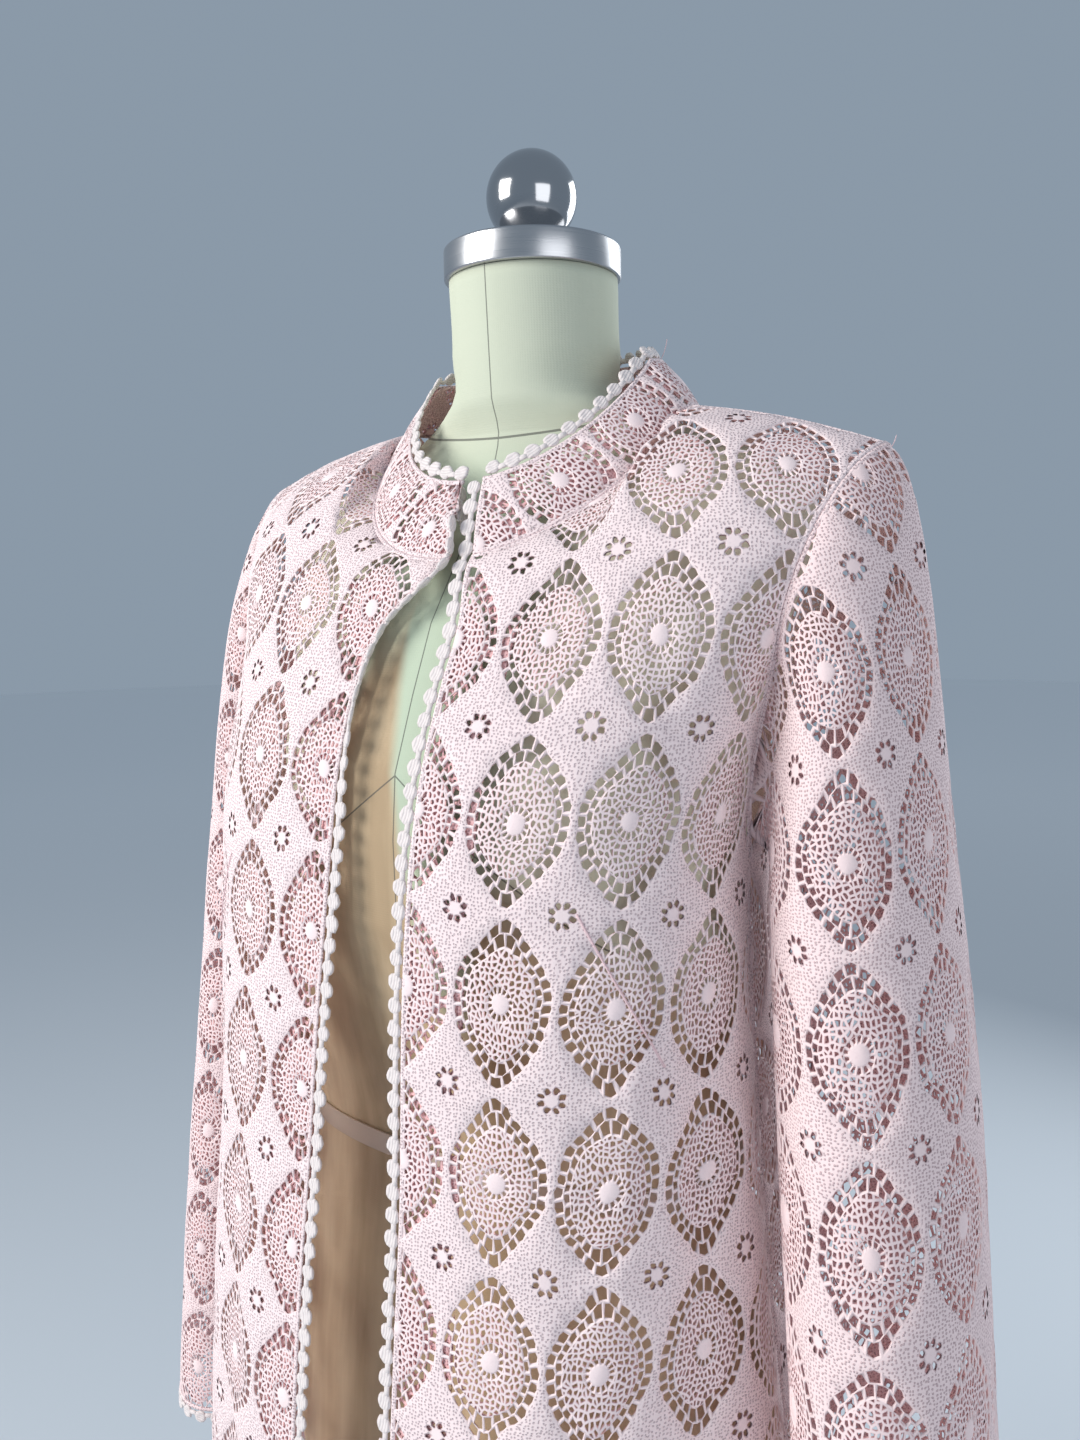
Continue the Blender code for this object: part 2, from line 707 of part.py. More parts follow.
def edging(name, line, outward, normals, material, curl=0.0, closed=False):
    """A strip of discs joined by short links, beside an edge of the cloth."""
    bm = bmesh.new()
    rings = []
    curl = np.zeros(len(line)) + curl
    for centre, out, normal, half_width in edge_frames(line, outward, normals, curl, closed):
        lift = normal * EDGING_THICKNESS / 2
        reach = out * half_width
        corners = (centre - reach - lift, centre + reach - lift, centre + reach + lift, centre - reach + lift)
        rings.append([bm.verts.new(p) for p in corners])
    pairs = list(zip(rings, rings[1:]))
    if closed:
        pairs.append((rings[-1], rings[0]))
    for first, second in pairs:
        for k in range(4):
            following = (k + 1) % 4
            bm.faces.new((first[k], first[following], second[following], second[k]))
    if not closed:
        bm.faces.new(rings[0][::-1])
        bm.faces.new(rings[-1])
    return finish_object(name, bm, material)


def front_edging(grids, normals, label, material):
    """Edging from the hem up a front edge and on up the end of the collar."""
    panel = grids["front_" + label]
    collar = grids["collar"]
    end = 0 if label == "right" else -1
    inner = 1 if label == "right" else -2
    line = np.concatenate([panel[:, 0], collar[1:, end]])
    outward = np.concatenate([panel[:, 0] - panel[:, 1], (collar[:, end] - collar[:, inner])[1:]])
    facing = np.concatenate([normals["front_" + label][:, 0], normals["collar"][1:, end]])
    turned = RIGHT_EDGE_CURL if label == "right" else 0.0
    curl = np.full(len(line), turned)
    if label == "right":
        curl[len(panel):] = COLLAR_END_CURL
    edging("edging_" + label, line, outward, facing, material, curl)


def lathe(name, profile, sides, material):
    """A turned solid round the pole's axis: profile rows are radius and height, from bottom to top."""
    bm = bmesh.new()
    rings = []
    for radius, z in profile:
        ring = []
        for k in range(sides):
            angle = 2 * math.pi * k / sides
            ring.append(bm.verts.new((radius * math.cos(angle), radius * math.sin(angle), z)))
        rings.append(ring)
    for lower, upper in zip(rings, rings[1:]):
        for k in range(sides):
            following = (k + 1) % sides
            bm.faces.new((lower[k], lower[following], upper[following], upper[k]))
    bm.faces.new(rings[0][::-1])
    bm.faces.new(rings[-1])
    return finish_object(name, bm, material)


def form_ring(z, moved_out=0.0):
    width = column(FORM_ROWS, 1, z) + moved_out
    front = column(FORM_ROWS, 2, z) + moved_out
    back = column(FORM_ROWS, 3, z) + moved_out
    power = 2 / column(FORM_ROWS, 4, z)
    ring = []
    for k in range(FORM_SIDES):
        angle = 2 * math.pi * k / FORM_SIDES
        sine, cosine = math.sin(angle), math.cos(angle)
        centre = (back - front) / 2
        depth = (back + front) / 2
        x = width * math.copysign(abs(sine) ** power, sine)
        y = centre - depth * math.copysign(abs(cosine) ** power, cosine)
        ring.append((x, y, z))
    return ring


def build_form(material):
    bm = bmesh.new()
    rings = [[bm.verts.new(p) for p in form_ring(row[0])] for row in FORM_ROWS]
    for lower, upper in zip(rings, rings[1:]):
        for k in range(FORM_SIDES):
            following = (k + 1) % FORM_SIDES
            bm.faces.new((lower[k], lower[following], upper[following], upper[k]))
    bm.faces.new(rings[0][::-1])
    bm.faces.new(rings[-1])
    finish_object("dress_form", bm, material)


def build_tape(material):
    """A flat tape round the waist, just clear of the form."""
    bm = bmesh.new()
    rings = []
    for z, moved_out in (
        (TAPE_Z - TAPE_WIDTH / 2, SMALL_GAP),
        (TAPE_Z - TAPE_WIDTH / 2, SMALL_GAP + TAPE_THICKNESS),
        (TAPE_Z + TAPE_WIDTH / 2, SMALL_GAP + TAPE_THICKNESS),
        (TAPE_Z + TAPE_WIDTH / 2, SMALL_GAP),
    ):
        width = column(FORM_ROWS, 1, z)
        clear = max(column(FORM_ROWS, 1, z + d) - width for d in (-TAPE_WIDTH, 0, TAPE_WIDTH))
        rings.append([bm.verts.new(p) for p in form_ring(z, moved_out + max(clear, 0))])
    for first, second in zip(rings, rings[1:] + rings[:1]):
        for k in range(FORM_SIDES):
            following = (k + 1) % FORM_SIDES
            bm.faces.new((first[k], first[following], second[following], second[k]))
    finish_object("waist_tape", bm, material)


def ball_profile(steps):
    """Radius and height of the finial: a short neck that widens into the ball."""
    start = math.asin(BALL_NECK_RADIUS / BALL_RADIUS)
    rows = [(BALL_FOOT_RADIUS, CAP_TOP_Z + SMALL_GAP)]
    for k in range(steps):
        angle = start + (math.pi - BALL_TOP_ANGLE - start) * k / (steps - 1)
        rows.append((BALL_RADIUS * math.sin(angle), BALL_Z - BALL_RADIUS * math.cos(angle)))
    return rows


def build_stand(steel, polished, base):
    lathe("neck_cap", [
        (CAP_RADIUS - CAP_LOWER_BEVEL, CAP_BOTTOM_Z),
        (CAP_RADIUS, CAP_BOTTOM_Z + CAP_LOWER_BEVEL),
        (CAP_RADIUS, CAP_TOP_Z - CAP_UPPER_BEVEL),
        (CAP_RADIUS - CAP_UPPER_BEVEL, CAP_TOP_Z),
    ], CAP_SIDES, steel)
    lathe("finial", ball_profile(BALL_RINGS), BALL_SIDES, polished)
    pole_top = FORM_ROWS[0][0] - SMALL_GAP
    lathe("pole", [(POLE_RADIUS, BASE_CROWN + SMALL_GAP), (POLE_RADIUS, pole_top)], POLE_SIDES, steel)
    lathe("stand_base", [
        (BASE_RADIUS, 0.0),
        (BASE_RADIUS, BASE_EDGE),
        (BASE_SHOULDER_RADIUS, BASE_SHOULDER),
        (BASE_NOSE_RADIUS, BASE_CROWN),
    ], BASE_SIDES, base)


def main():
    clear_scene()
    lace = make_material("lace")
    trim = make_material("edging")
    grids, signs = cloth_grids()
    normals = share_normals(grids, signs)
    grids = folded(grids, normals)
    for name, points in grids.items():
        placed = with_seam_gaps(name, points, normals[name])
        thickness = COLLAR_WALL if name == "collar" else WALL
        gaps = None if name == "collar" else lace_gaps(points)
        wall(name, placed, normals[name], thickness, lace, gaps)
    for label in ("left", "right"):
        front_edging(grids, normals, label, trim)
        front, back = grids["sleeve_" + label + "_front"], grids["sleeve_" + label + "_back"]
        line = np.concatenate([front[-1, ::-1], back[-1, 1:-1]])
        down = np.concatenate([(front[-1] - front[-2])[::-1], (back[-1] - back[-2])[1:-1]])
        front_normals = normals["sleeve_" + label + "_front"][-1, ::-1]
        back_normals = normals["sleeve_" + label + "_back"][-1, 1:-1]
        facing = np.concatenate([front_normals, back_normals])
        edging("edging_cuff_" + label, line, down, facing, trim, closed=True)
    collar = grids["collar"]
    edging("edging_collar", collar[-1], collar[-1] - collar[-2], normals["collar"][-1], trim)
    build_form(make_material("form"))
    build_tape(make_material("tape"))
    build_stand(
        make_material("steel", 1.0, 0.35),
        make_material("polished", 1.0, 0.12),
        make_material("base", 0.6, 0.5),
    )


main()
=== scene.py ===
import math

import bpy
import bmesh
import numpy as np
from mathutils import Matrix, Vector
from mathutils.kdtree import KDTree


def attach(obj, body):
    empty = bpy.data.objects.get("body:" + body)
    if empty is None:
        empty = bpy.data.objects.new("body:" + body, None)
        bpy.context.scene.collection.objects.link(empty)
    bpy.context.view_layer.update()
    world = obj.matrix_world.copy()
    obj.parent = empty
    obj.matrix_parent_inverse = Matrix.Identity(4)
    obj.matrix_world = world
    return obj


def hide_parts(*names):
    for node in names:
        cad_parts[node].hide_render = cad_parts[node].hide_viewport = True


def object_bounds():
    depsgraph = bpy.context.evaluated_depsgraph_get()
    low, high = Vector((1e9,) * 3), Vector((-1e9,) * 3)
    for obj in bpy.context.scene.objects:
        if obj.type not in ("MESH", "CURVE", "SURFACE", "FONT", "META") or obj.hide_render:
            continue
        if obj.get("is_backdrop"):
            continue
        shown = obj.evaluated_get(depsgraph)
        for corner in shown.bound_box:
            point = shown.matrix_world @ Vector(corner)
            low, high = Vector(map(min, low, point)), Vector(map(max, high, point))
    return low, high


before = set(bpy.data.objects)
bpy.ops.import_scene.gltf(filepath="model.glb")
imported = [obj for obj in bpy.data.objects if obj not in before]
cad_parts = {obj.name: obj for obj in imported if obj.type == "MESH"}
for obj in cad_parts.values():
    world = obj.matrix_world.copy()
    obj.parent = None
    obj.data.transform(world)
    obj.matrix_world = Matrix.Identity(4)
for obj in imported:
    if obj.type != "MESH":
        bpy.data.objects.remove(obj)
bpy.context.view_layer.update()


# shader maths

# a node output that can be used in sums
class Socket:
    def __init__(self, tree, output):
        self.tree = tree
        self.output = output

    def node(self, kind, settings=None, output=0, **inputs):
        made = self.tree.nodes.new(kind)
        for key, value in (settings or {}).items():
            setattr(made, key, value)
        for key, value in inputs.items():
            # i0, i1 and so on are inputs by number
            place = int(key[1:]) if key[0] == "i" and key[1:].isdigit() else key
            target = made.inputs[place]
            if isinstance(value, Socket):
                self.tree.links.new(value.output, target)
            else:
                target.default_value = value
        return Socket(self.tree, made.outputs[output])

    def math(self, operation, other=0.0):
        return self.node("ShaderNodeMath", {"operation": operation}, i0=self, i1=other)

    def __add__(self, other):
        return self.math("ADD", other)

    def __sub__(self, other):
        return self.math("SUBTRACT", other)

    def __mul__(self, other):
        return self.math("MULTIPLY", other)

    def __radd__(self, other):
        return self.math("ADD", other)

    def __rsub__(self, other):
        return self.node("ShaderNodeMath", {"operation": "SUBTRACT"}, i0=other, i1=self)

    def __abs__(self):
        return self.math("ABSOLUTE")

    def __lt__(self, other):
        return self.math("LESS_THAN", other)

    def __gt__(self, other):
        return self.math("GREATER_THAN", other)

    # 0 below low, 1 above high, and a soft step between
    def smooth(self, low, high):
        return self.node(
            "ShaderNodeMapRange", {"interpolation_type": "SMOOTHSTEP"},
            Value=self, **{"From Min": low, "From Max": high},
        )

    # a colour between first and second by this factor
    def mix(self, first, second):
        return self.node("ShaderNodeMix", {"data_type": "RGBA"}, output=2, i0=self, i6=first, i7=second)

    def xyz(self):
        split = self.tree.nodes.new("ShaderNodeSeparateXYZ")
        self.tree.links.new(self.output, split.inputs[0])
        return [Socket(self.tree, split.outputs[k]) for k in range(3)]


def joinXyz(x, y, z=0.0):
    return x.node("ShaderNodeCombineXYZ", i0=x, i1=y, i2=z)


# a Principled material, with its texture places at hand
class Material:
    def __init__(self, name, **values):
        self.data = bpy.data.materials.new(name)
        self.data.use_nodes = True
        self.tree = self.data.node_tree
        self.shader = self.tree.nodes["Principled BSDF"]
        for key, value in values.items():
            self.shader.inputs[key.replace("_", " ")].default_value = value
        place = self.tree.nodes.new("ShaderNodeTexCoord")
        self.object = Socket(self.tree, place.outputs["Object"])
        self.uv = Socket(self.tree, place.outputs["UV"])

    def map(self, name):
        return self.object.node("ShaderNodeUVMap", {"uv_map": name})

    def noise(self, scale, detail, roughness=0.5):
        return self.object.node(
            "ShaderNodeTexNoise", Vector=self.object, Scale=scale, Detail=detail, Roughness=roughness,
        )

    def feed(self, name, socket):
        self.tree.links.new(socket.output, self.shader.inputs[name])

    def bump(self, height, strength=1.0, distance=0.0005):
        node = self.tree.nodes.new("ShaderNodeBump")
        node.inputs["Strength"].default_value = strength
        node.inputs["Distance"].default_value = distance
        self.tree.links.new(height.output, node.inputs["Height"])
        self.tree.links.new(node.outputs[0], self.shader.inputs["Normal"])


# sizes of the cloth, as in the solids

# height, left, right, front, back
bodyRows = (
    (0.685, 0.182, 0.180, 0.178, 0.110),
    (0.785, 0.177, 0.178, 0.172, 0.104),
    (0.875, 0.169, 0.1745, 0.166, 0.097),
    (0.945, 0.160, 0.173, 0.159, 0.092),
    (1.025, 0.152, 0.171, 0.150, 0.088),
    (1.085, 0.147, 0.170, 0.146, 0.086),
    (1.145, 0.143, 0.169, 0.142, 0.085),
    (1.185, 0.142, 0.168, 0.139, 0.087),
    (1.225, 0.147, 0.165, 0.133, 0.089),
    (1.260, 0.158, 0.166, 0.120, 0.087),
    (1.285, 0.169, 0.172, 0.108, 0.083),
)
# by side, and whether it is the back
squareness = {(1, False): 2.7, (-1, False): 3.2, (1, True): 2.4, (-1, True): 2.4}

# height, left edge, right edge
frontEdgeRows = (
    (0.685, 0.0170, -0.0540),
    (0.865, 0.0155, -0.0500),
    (0.995, 0.0150, -0.0470),
    (1.055, 0.0140, -0.0440),
    (1.120, 0.0140, -0.0390),
    (1.175, 0.0165, -0.0340),
    (1.225, 0.0210, -0.0310),
    (1.260, 0.0225, -0.0300),
    (1.285, 0.0235, -0.0250),
    (1.308, 0.0215, -0.0090),
    (1.322, 0.0186, 0.0054),
)

# height, y of the front seam, y of the back seam
armholeRows = (
    (1.185, -0.026, -0.026),
    (1.205, -0.031, -0.002),
    (1.235, -0.035, 0.020),
    (1.260, -0.042, 0.034),
    (1.285, -0.050, 0.040),
)
underarmZ = 1.185
chestZ = 1.285
hemZ = 0.685

neck = {
    "centreY": 0.006, "half": 0.094, "front": 0.094, "back": 0.072,
    "frontZ": 1.322, "sideZ": 1.400, "backZ": 1.404,
}
collarTopSizes = {
    "centreY": 0.003, "half": 0.071, "front": 0.072, "back": 0.062,
    "frontZ": 1.362, "sideZ": 1.426, "backZ": 1.436,
}
collarBow = 0.0015
shoulderTip = np.array((0.197, 0.002, 1.373))
shoulderRound = 0.003
neckShare = 0.42
# rise of the pull at the neck's middle, beside the neck and at the shoulder's tip, for front and back
topRise = {False: (0.75, 0.15, 0.20), True: (2.20, 0.45, 0.25)}
tipOutward = 0.30
neckInward = 0.35
# where the collar's ends stand, at its seam and at its top
endBaseX = {1: 0.0186, -1: 0.0054}
endTopX = {1: 0.0126, -1: -0.0006}

# height, x, y, half size in x, half size in y
sleeveRows = {
    1: (
        (0.750, 0.2430, -0.074, 0.043, 0.064),
        (0.805, 0.2380, -0.065, 0.043, 0.065),
        (0.865, 0.2320, -0.055, 0.044, 0.066),
        (0.925, 0.2250, -0.044, 0.044, 0.067),
        (0.985, 0.2170, -0.032, 0.0445, 0.068),
        (1.045, 0.2090, -0.020, 0.045, 0.069),
        (1.105, 0.2010, -0.010, 0.044, 0.069),
        (1.155, 0.1945, -0.003, 0.042, 0.069),
    ),
    -1: (
        (0.750, -0.2330, -0.026, 0.042, 0.064),
        (0.805, -0.2310, -0.021, 0.042, 0.065),
        (0.865, -0.2285, -0.016, 0.042, 0.066),
        (0.925, -0.2255, -0.011, 0.042, 0.067),
        (0.985, -0.2225, -0.006, 0.041, 0.067),
        (1.045, -0.2190, 0.000, 0.041, 0.067),
        (1.105, -0.2170, 0.007, 0.040, 0.067),
        (1.155, -0.2140, 0.013, 0.040, 0.067),
    ),
}
cuffZ = 0.750
capZ = 1.155
# way and strength of the pull at the sleeve's head: under the arm, at the top
headOut = (0.55, 0.75)
headDown = (0.80, 0.60)
headStrength = (0.90, 0.42)
headAlong = 0.30
capStrength = 1.1

# panel, place, height, reach along, reach up, depth, and how far the fold leans per metre of height
bodyFolds = (
    ("frontLeft", 0.30, 0.72, 0.10, 0.30, 0.006, 0.0),
    ("frontLeft", 0.62, 0.80, 0.11, 0.26, -0.006, 0.0),
    ("frontLeft", 0.88, 0.95, 0.10, 0.26, 0.006, 0.0),
    ("frontRight", 0.34, 0.80, 0.11, 0.26, -0.005, 0.0),
    ("frontRight", 0.66, 0.74, 0.11, 0.30, 0.006, 0.0),
    ("frontRight", 0.92, 0.98, 0.10, 0.22, 0.004, 0.0),
    ("backLeft", 0.16, 0.76, 0.09, 0.28, 0.006, 0.0),
    ("backLeft", 0.46, 0.84, 0.10, 0.24, -0.006, 0.0),
    ("backLeft", 0.76, 0.74, 0.10, 0.30, 0.006, 0.0),
    ("backRight", 0.22, 0.82, 0.10, 0.26, -0.006, 0.0),
    ("backRight", 0.52, 0.74, 0.10, 0.30, 0.006, 0.0),
    ("backRight", 0.82, 0.90, 0.10, 0.24, -0.004, 0.0),
    # softer creases that the solids leave out
    ("frontLeft", 0.44, 1.00, 0.035, 0.16, -0.0016, 0.30),
    ("frontLeft", 0.56, 1.06, 0.030, 0.13, 0.0014, 0.45),
    ("frontLeft", 0.72, 1.02, 0.035, 0.20, -0.0020, 0.15),
    ("frontLeft", 0.18, 0.92, 0.040, 0.18, 0.0014, -0.10),
    ("frontLeft", 0.66, 1.25, 0.045, 0.05, -0.0016, -0.90),
    ("frontRight", 0.22, 0.98, 0.040, 0.18, 0.0015, 0.10),
    ("frontRight", 0.50, 1.06, 0.035, 0.15, -0.0015, -0.25),
    ("frontRight", 0.70, 1.22, 0.050, 0.06, -0.0016, 0.80),
    ("backLeft", 0.30, 1.10, 0.050, 0.14, 0.0015, 0.20),
    ("backLeft", 0.62, 1.16, 0.040, 0.12, -0.0015, 0.40),
    ("backRight", 0.36, 1.12, 0.045, 0.16, -0.0015, 0.30),
    ("backRight", 0.66, 1.08, 0.040, 0.13, 0.0016, 0.20),
)

# whose, place round the sleeve from the underarm by the front, height, reach round, reach up, depth, lean
sleeveFolds = (
    (1, 0.16, 1.06, 0.035, 0.16, -0.0022, 0.15),
    (1, 0.30, 0.96, 0.050, 0.13, 0.0018, -0.30),
    (1, 0.44, 0.90, 0.045, 0.12, -0.0018, 0.35),
    (1, 0.62, 1.02, 0.050, 0.20, 0.0020, 0.10),
    (1, 0.80, 0.95, 0.050, 0.15, -0.0020, -0.20),
    (-1, 0.12, 1.02, 0.050, 0.15, 0.0018, 0.20),
    (-1, 0.34, 1.00, 0.050, 0.18, -0.0020, -0.10),
    (-1, 0.55, 0.92, 0.050, 0.14, 0.0018, 0.25),
    (-1, 0.78, 1.04, 0.050, 0.16, -0.0020, 0.15),
)


# form of the cloth

def smoothValue(heights, values, z):
    heights = np.asarray(heights, float)
    values = np.asarray(values, float)
    z = np.clip(z, heights[0], heights[-1])
    steps = np.diff(heights)
    slopes = np.diff(values) / steps
    tangents = np.empty_like(values)
    tangents[0] = slopes[0]
    tangents[-1] = slopes[-1]
    weight = steps[1:] / (steps[1:] + steps[:-1])
    tangents[1:-1] = slopes[:-1] * weight + slopes[1:] * (1 - weight)
    k = np.clip(np.searchsorted(heights, z, side="right") - 1, 0, len(steps) - 1)
    u = (z - heights[k]) / steps[k]
    return (
        values[k] * (2 * u**3 - 3 * u**2 + 1) + tangents[k] * steps[k] * (u**3 - 2 * u**2 + u)
        + values[k + 1] * (3 * u**2 - 2 * u**3) + tangents[k + 1] * steps[k] * (u**3 - u**2)
    )


def column(rows, index, z):
    return smoothValue([row[0] for row in rows], [row[index] for row in rows], z)


def hermite(start, startPull, end, endPull, t):
    return (
        start * (2 * t**3 - 3 * t**2 + 1) + startPull * (t**3 - 2 * t**2 + t)
        + end * (3 * t**2 - 2 * t**3) + endPull * (t**3 - t**2)
    )


# length of a line up to each of its points
def runOf(points):
    return np.concatenate([[0.0], np.cumsum(np.linalg.norm(np.diff(points, axis=0), axis=1))])


def along(points, shares):
    total = runOf(points)
    wanted = np.asarray(shares) * total[-1]
    return np.stack([np.interp(wanted, total, points[:, k]) for k in range(3)], axis=1)


# points of a level line, and how far under the chest and the sleeve's cap the pull is taken
arcSteps = 400
belowChest = 0.012
belowCap = 0.020


# level line of one half of the front or back
def bodyArc(z, side, back):
    width = column(bodyRows, 1 if side > 0 else 2, z)
    frontY = -column(bodyRows, 3, z)
    backY = column(bodyRows, 4, z)
    centre = (frontY + backY) / 2
    depth = (backY - frontY) / 2
    power = 2 / squareness[side, back]
    turn = np.linspace(0, math.pi / 2, arcSteps)
    x = width * np.sin(turn) ** power
    y = centre + (1 if back else -1) * depth * np.cos(turn) ** power
    if z > underarmZ:
        seam = column(armholeRows, 2 if back else 1, z)
        seam = max(seam, centre) if back else min(seam, centre)
        keep = y >= seam if back else y <= seam
        seamX = np.interp(seam, y[::-1] if back else y, x[::-1] if back else x)
        x = np.append(x[keep], seamX)
        y = np.append(y[keep], seam)
    if not back:
        edge = abs(column(frontEdgeRows, 1 if side > 0 else 2, z))
        edgeY = np.interp(edge, x, y)
        keep = x > edge
        x = np.append(edge, x[keep])
        y = np.append(edgeY, y[keep])
    return np.stack([side * x, y, np.full_like(x, z)], axis=1)


def neckRing(angle, s):
    forward = np.cos(angle)
    front = forward > 0
    y = s["centreY"] - np.where(front, s["front"], s["back"]) * forward
    z = s["sideZ"] + np.where(front, s["frontZ"] - s["sideZ"], s["sideZ"] - s["backZ"]) * forward
    return np.stack([s["half"] * np.sin(angle), y, z], axis=-1)


# point and pull of the neck and shoulder seam at a share of the panel's width
def topEdge(share, side, back):
    beside = neckRing(np.array(math.pi / 2), neck)
    neckPart = min(share / neckShare, 1.0)
    shoulderPart = max(0.0, (share - neckShare) / (1 - neckShare))
    if share <= neckShare:
        meeting = math.asin(endBaseX[side] * side / neck["half"])
        angle = math.pi * (1 - neckPart / 2) if back else meeting + (math.pi / 2 - meeting) * neckPart
        point = neckRing(np.array(angle), neck)
    else:
        point = beside + (shoulderTip - beside) * shoulderPart
        point[2] += shoulderRound * math.sin(math.pi * shoulderPart)
    outward = tipOutward * shoulderPart**2 - neckInward * math.sin(math.pi * neckPart)
    middle, beside, tip = topRise[back]
    rise = middle + (beside - middle) * neckPart + (tip - beside) * shoulderPart
    pull = np.array([outward, -1.0 if back else 1.0, rise])
    pull /= np.linalg.norm(pull)
    return point * (side, 1, 1), pull * (side, 1, 1)


def panelSurface(side, back, shares, lowRises, topRises):
    rows = []
    for rise in lowRises:
        z = hemZ + (underarmZ - hemZ) * rise if rise <= 1 else underarmZ + (chestZ - underarmZ) * (rise - 1)
        rows.append(along(bodyArc(z, side, back), shares))
    chest = rows[-1]
    below = along(bodyArc(chestZ - belowChest, side, back), shares)
    t = np.asarray(topRises)[:, None]
    columns = []
    for k, share in enumerate(shares):
        end, endPull = topEdge(share, side, back)
        startPull = chest[k] - below[k]
        startPull /= np.linalg.norm(startPull)
        span = np.linalg.norm(end - chest[k])
        columns.append(hermite(chest[k], startPull * span, end, endPull * span, t))
    return np.concatenate([np.array(rows), np.stack(columns, axis=1)])


def sleeveRing(side, z, turns):
    x, y, halfX, halfY = (column(sleeveRows[side], k, z) for k in range(1, 5))
    angle = 2 * math.pi * turns
    ringX = x + side * halfX * np.cos(angle)
    ringY = y - halfY * np.sin(angle)
    return np.stack([ringX, ringY, np.full_like(turns, z)], axis=1)


# rows run up from the cuff to the armhole seam
def sleeveSurface(side, seam, turns, capRows, lowRows):
    end = sleeveRing(side, capZ, turns)
    angle = 2 * math.pi * turns
    upper = 0.5 + 0.5 * np.cos(angle)
    out, drop, strength = (low + (high - low) * upper for low, high in (headOut, headDown, headStrength))
    pull = np.stack([side * out, -headAlong * np.sin(angle), -drop], axis=1)
    pull *= strength[:, None] / np.linalg.norm(pull, axis=1, keepdims=True)
    down = sleeveRing(side, capZ - belowCap, turns) - end
    down *= capStrength / np.linalg.norm(down, axis=1, keepdims=True)
    span = np.linalg.norm(end - seam, axis=1, keepdims=True)
    rows = [sleeveRing(side, z, turns) for z in np.linspace(cuffZ, capZ, lowRows + 1)]
    for t in np.linspace(1, 0, capRows + 1)[1:]:
        rows.append(hermite(seam, pull * span, end, down * span, t))
    return np.array(rows)


# where each point of an armhole seam sits round the sleeve
def seamTurns(seam, back):
    share = runOf(seam)
    share /= share[-1]
    return 0.5 + 0.5 * share if back else 0.5 - 0.5 * share


def surfaceNormals(points, sign):
    normals = np.cross(np.gradient(points, axis=1), np.gradient(points, axis=0)) * sign
    return normals / np.maximum(np.linalg.norm(normals, axis=2, keepdims=True), 1e-12)


def foldDepth(folds, panel, shares, heights):
    depth = np.zeros(heights.shape)
    for name, place, height, reachAlong, reachUp, amount, lean in folds:
        if name == panel:
            across = (shares[None, :] - place - lean * (heights - height)) / reachAlong
            up = (heights - height) / reachUp
            depth += amount * np.exp(-across**2) * np.clip(1 - up**2, 0, 1) ** 2
    return depth


# where every point of a grid lay in the flat cut: across from the middle column, and up
def flatPlaces(points, normals, straightRows, middle):
    across = np.linalg.norm(np.diff(points, axis=1), axis=2)
    up = np.linalg.norm(np.diff(points, axis=0), axis=2)
    flat = np.zeros(points.shape[:2] + (2,))
    flat[:, 1:, 0] = np.cumsum(across, axis=1)
    flat[:, :, 0] -= flat[:, middle:middle + 1, 0]
    flat[1:, :, 1] = np.cumsum(up, axis=0)
    level = np.cross((0.0, 0.0, 1.0), normals)
    level /= np.maximum(np.linalg.norm(level, axis=2, keepdims=True), 1e-9)
    level *= np.sign(np.sum(level * np.gradient(points, axis=1), axis=2, keepdims=True))
    steep = np.cross(normals, level)
    steep *= np.sign(np.sum(steep * np.gradient(points, axis=0), axis=2, keepdims=True))
    for i in range(straightRows, len(points)):
        step = points[i] - points[i - 1]
        flat[i, :, 0] = flat[i - 1, :, 0] + np.sum(step * level[i - 1], axis=1)
        flat[i, :, 1] = flat[i - 1, :, 1] + np.sum(step * steep[i - 1], axis=1)
    return flat


def cellSizes(grid):
    a = grid[1:, 1:] - grid[:-1, :-1]
    b = grid[1:, :-1] - grid[:-1, 1:]
    if grid.shape[2] == 2:
        return (a[..., 0] * b[..., 1] - a[..., 1] * b[..., 0]) / 2
    return np.linalg.norm(np.cross(a, b), axis=2) / 2


# evening of the flat cut: smallest share of a cell's true size, rounds and their steps
thinnestCell = 0.15
evenRounds = 6
unfoldSteps = 60
springSteps = 100
springPush = 1.6
lastUnfoldSteps = 200
smoothing = 0.6
widenRounds = 3


# cells that are folded over or nearly closed are smoothed out with what lies round them
def unfolded(flat, real, sign, steps, mode):
    for _ in range(steps):
        bad = cellSizes(flat) * sign < real * thinnestCell
        if not bad.any():
            break
        near = np.zeros(flat.shape[:2], bool)
        for i in (0, 1):
            for j in (0, 1):
                near[i:i + bad.shape[0], j:j + bad.shape[1]] |= bad
        for _ in range(widenRounds):
            wide = np.pad(near, 1)
            near = wide[1:-1, 1:-1] | wide[:-2, 1:-1] | wide[2:, 1:-1] | wide[1:-1, :-2] | wide[1:-1, 2:]
        more = {"reflect_type": "odd"} if mode == "reflect" else {}
        wide = np.pad(flat, ((1, 1), (1, 1), (0, 0)), mode=mode, **more)
        mean = (wide[:-2, 1:-1] + wide[2:, 1:-1] + wide[1:-1, :-2] + wide[1:-1, 2:]) / 4
        flat = np.where(near[..., None], flat * (1 - smoothing) + mean * smoothing, flat)
    return flat


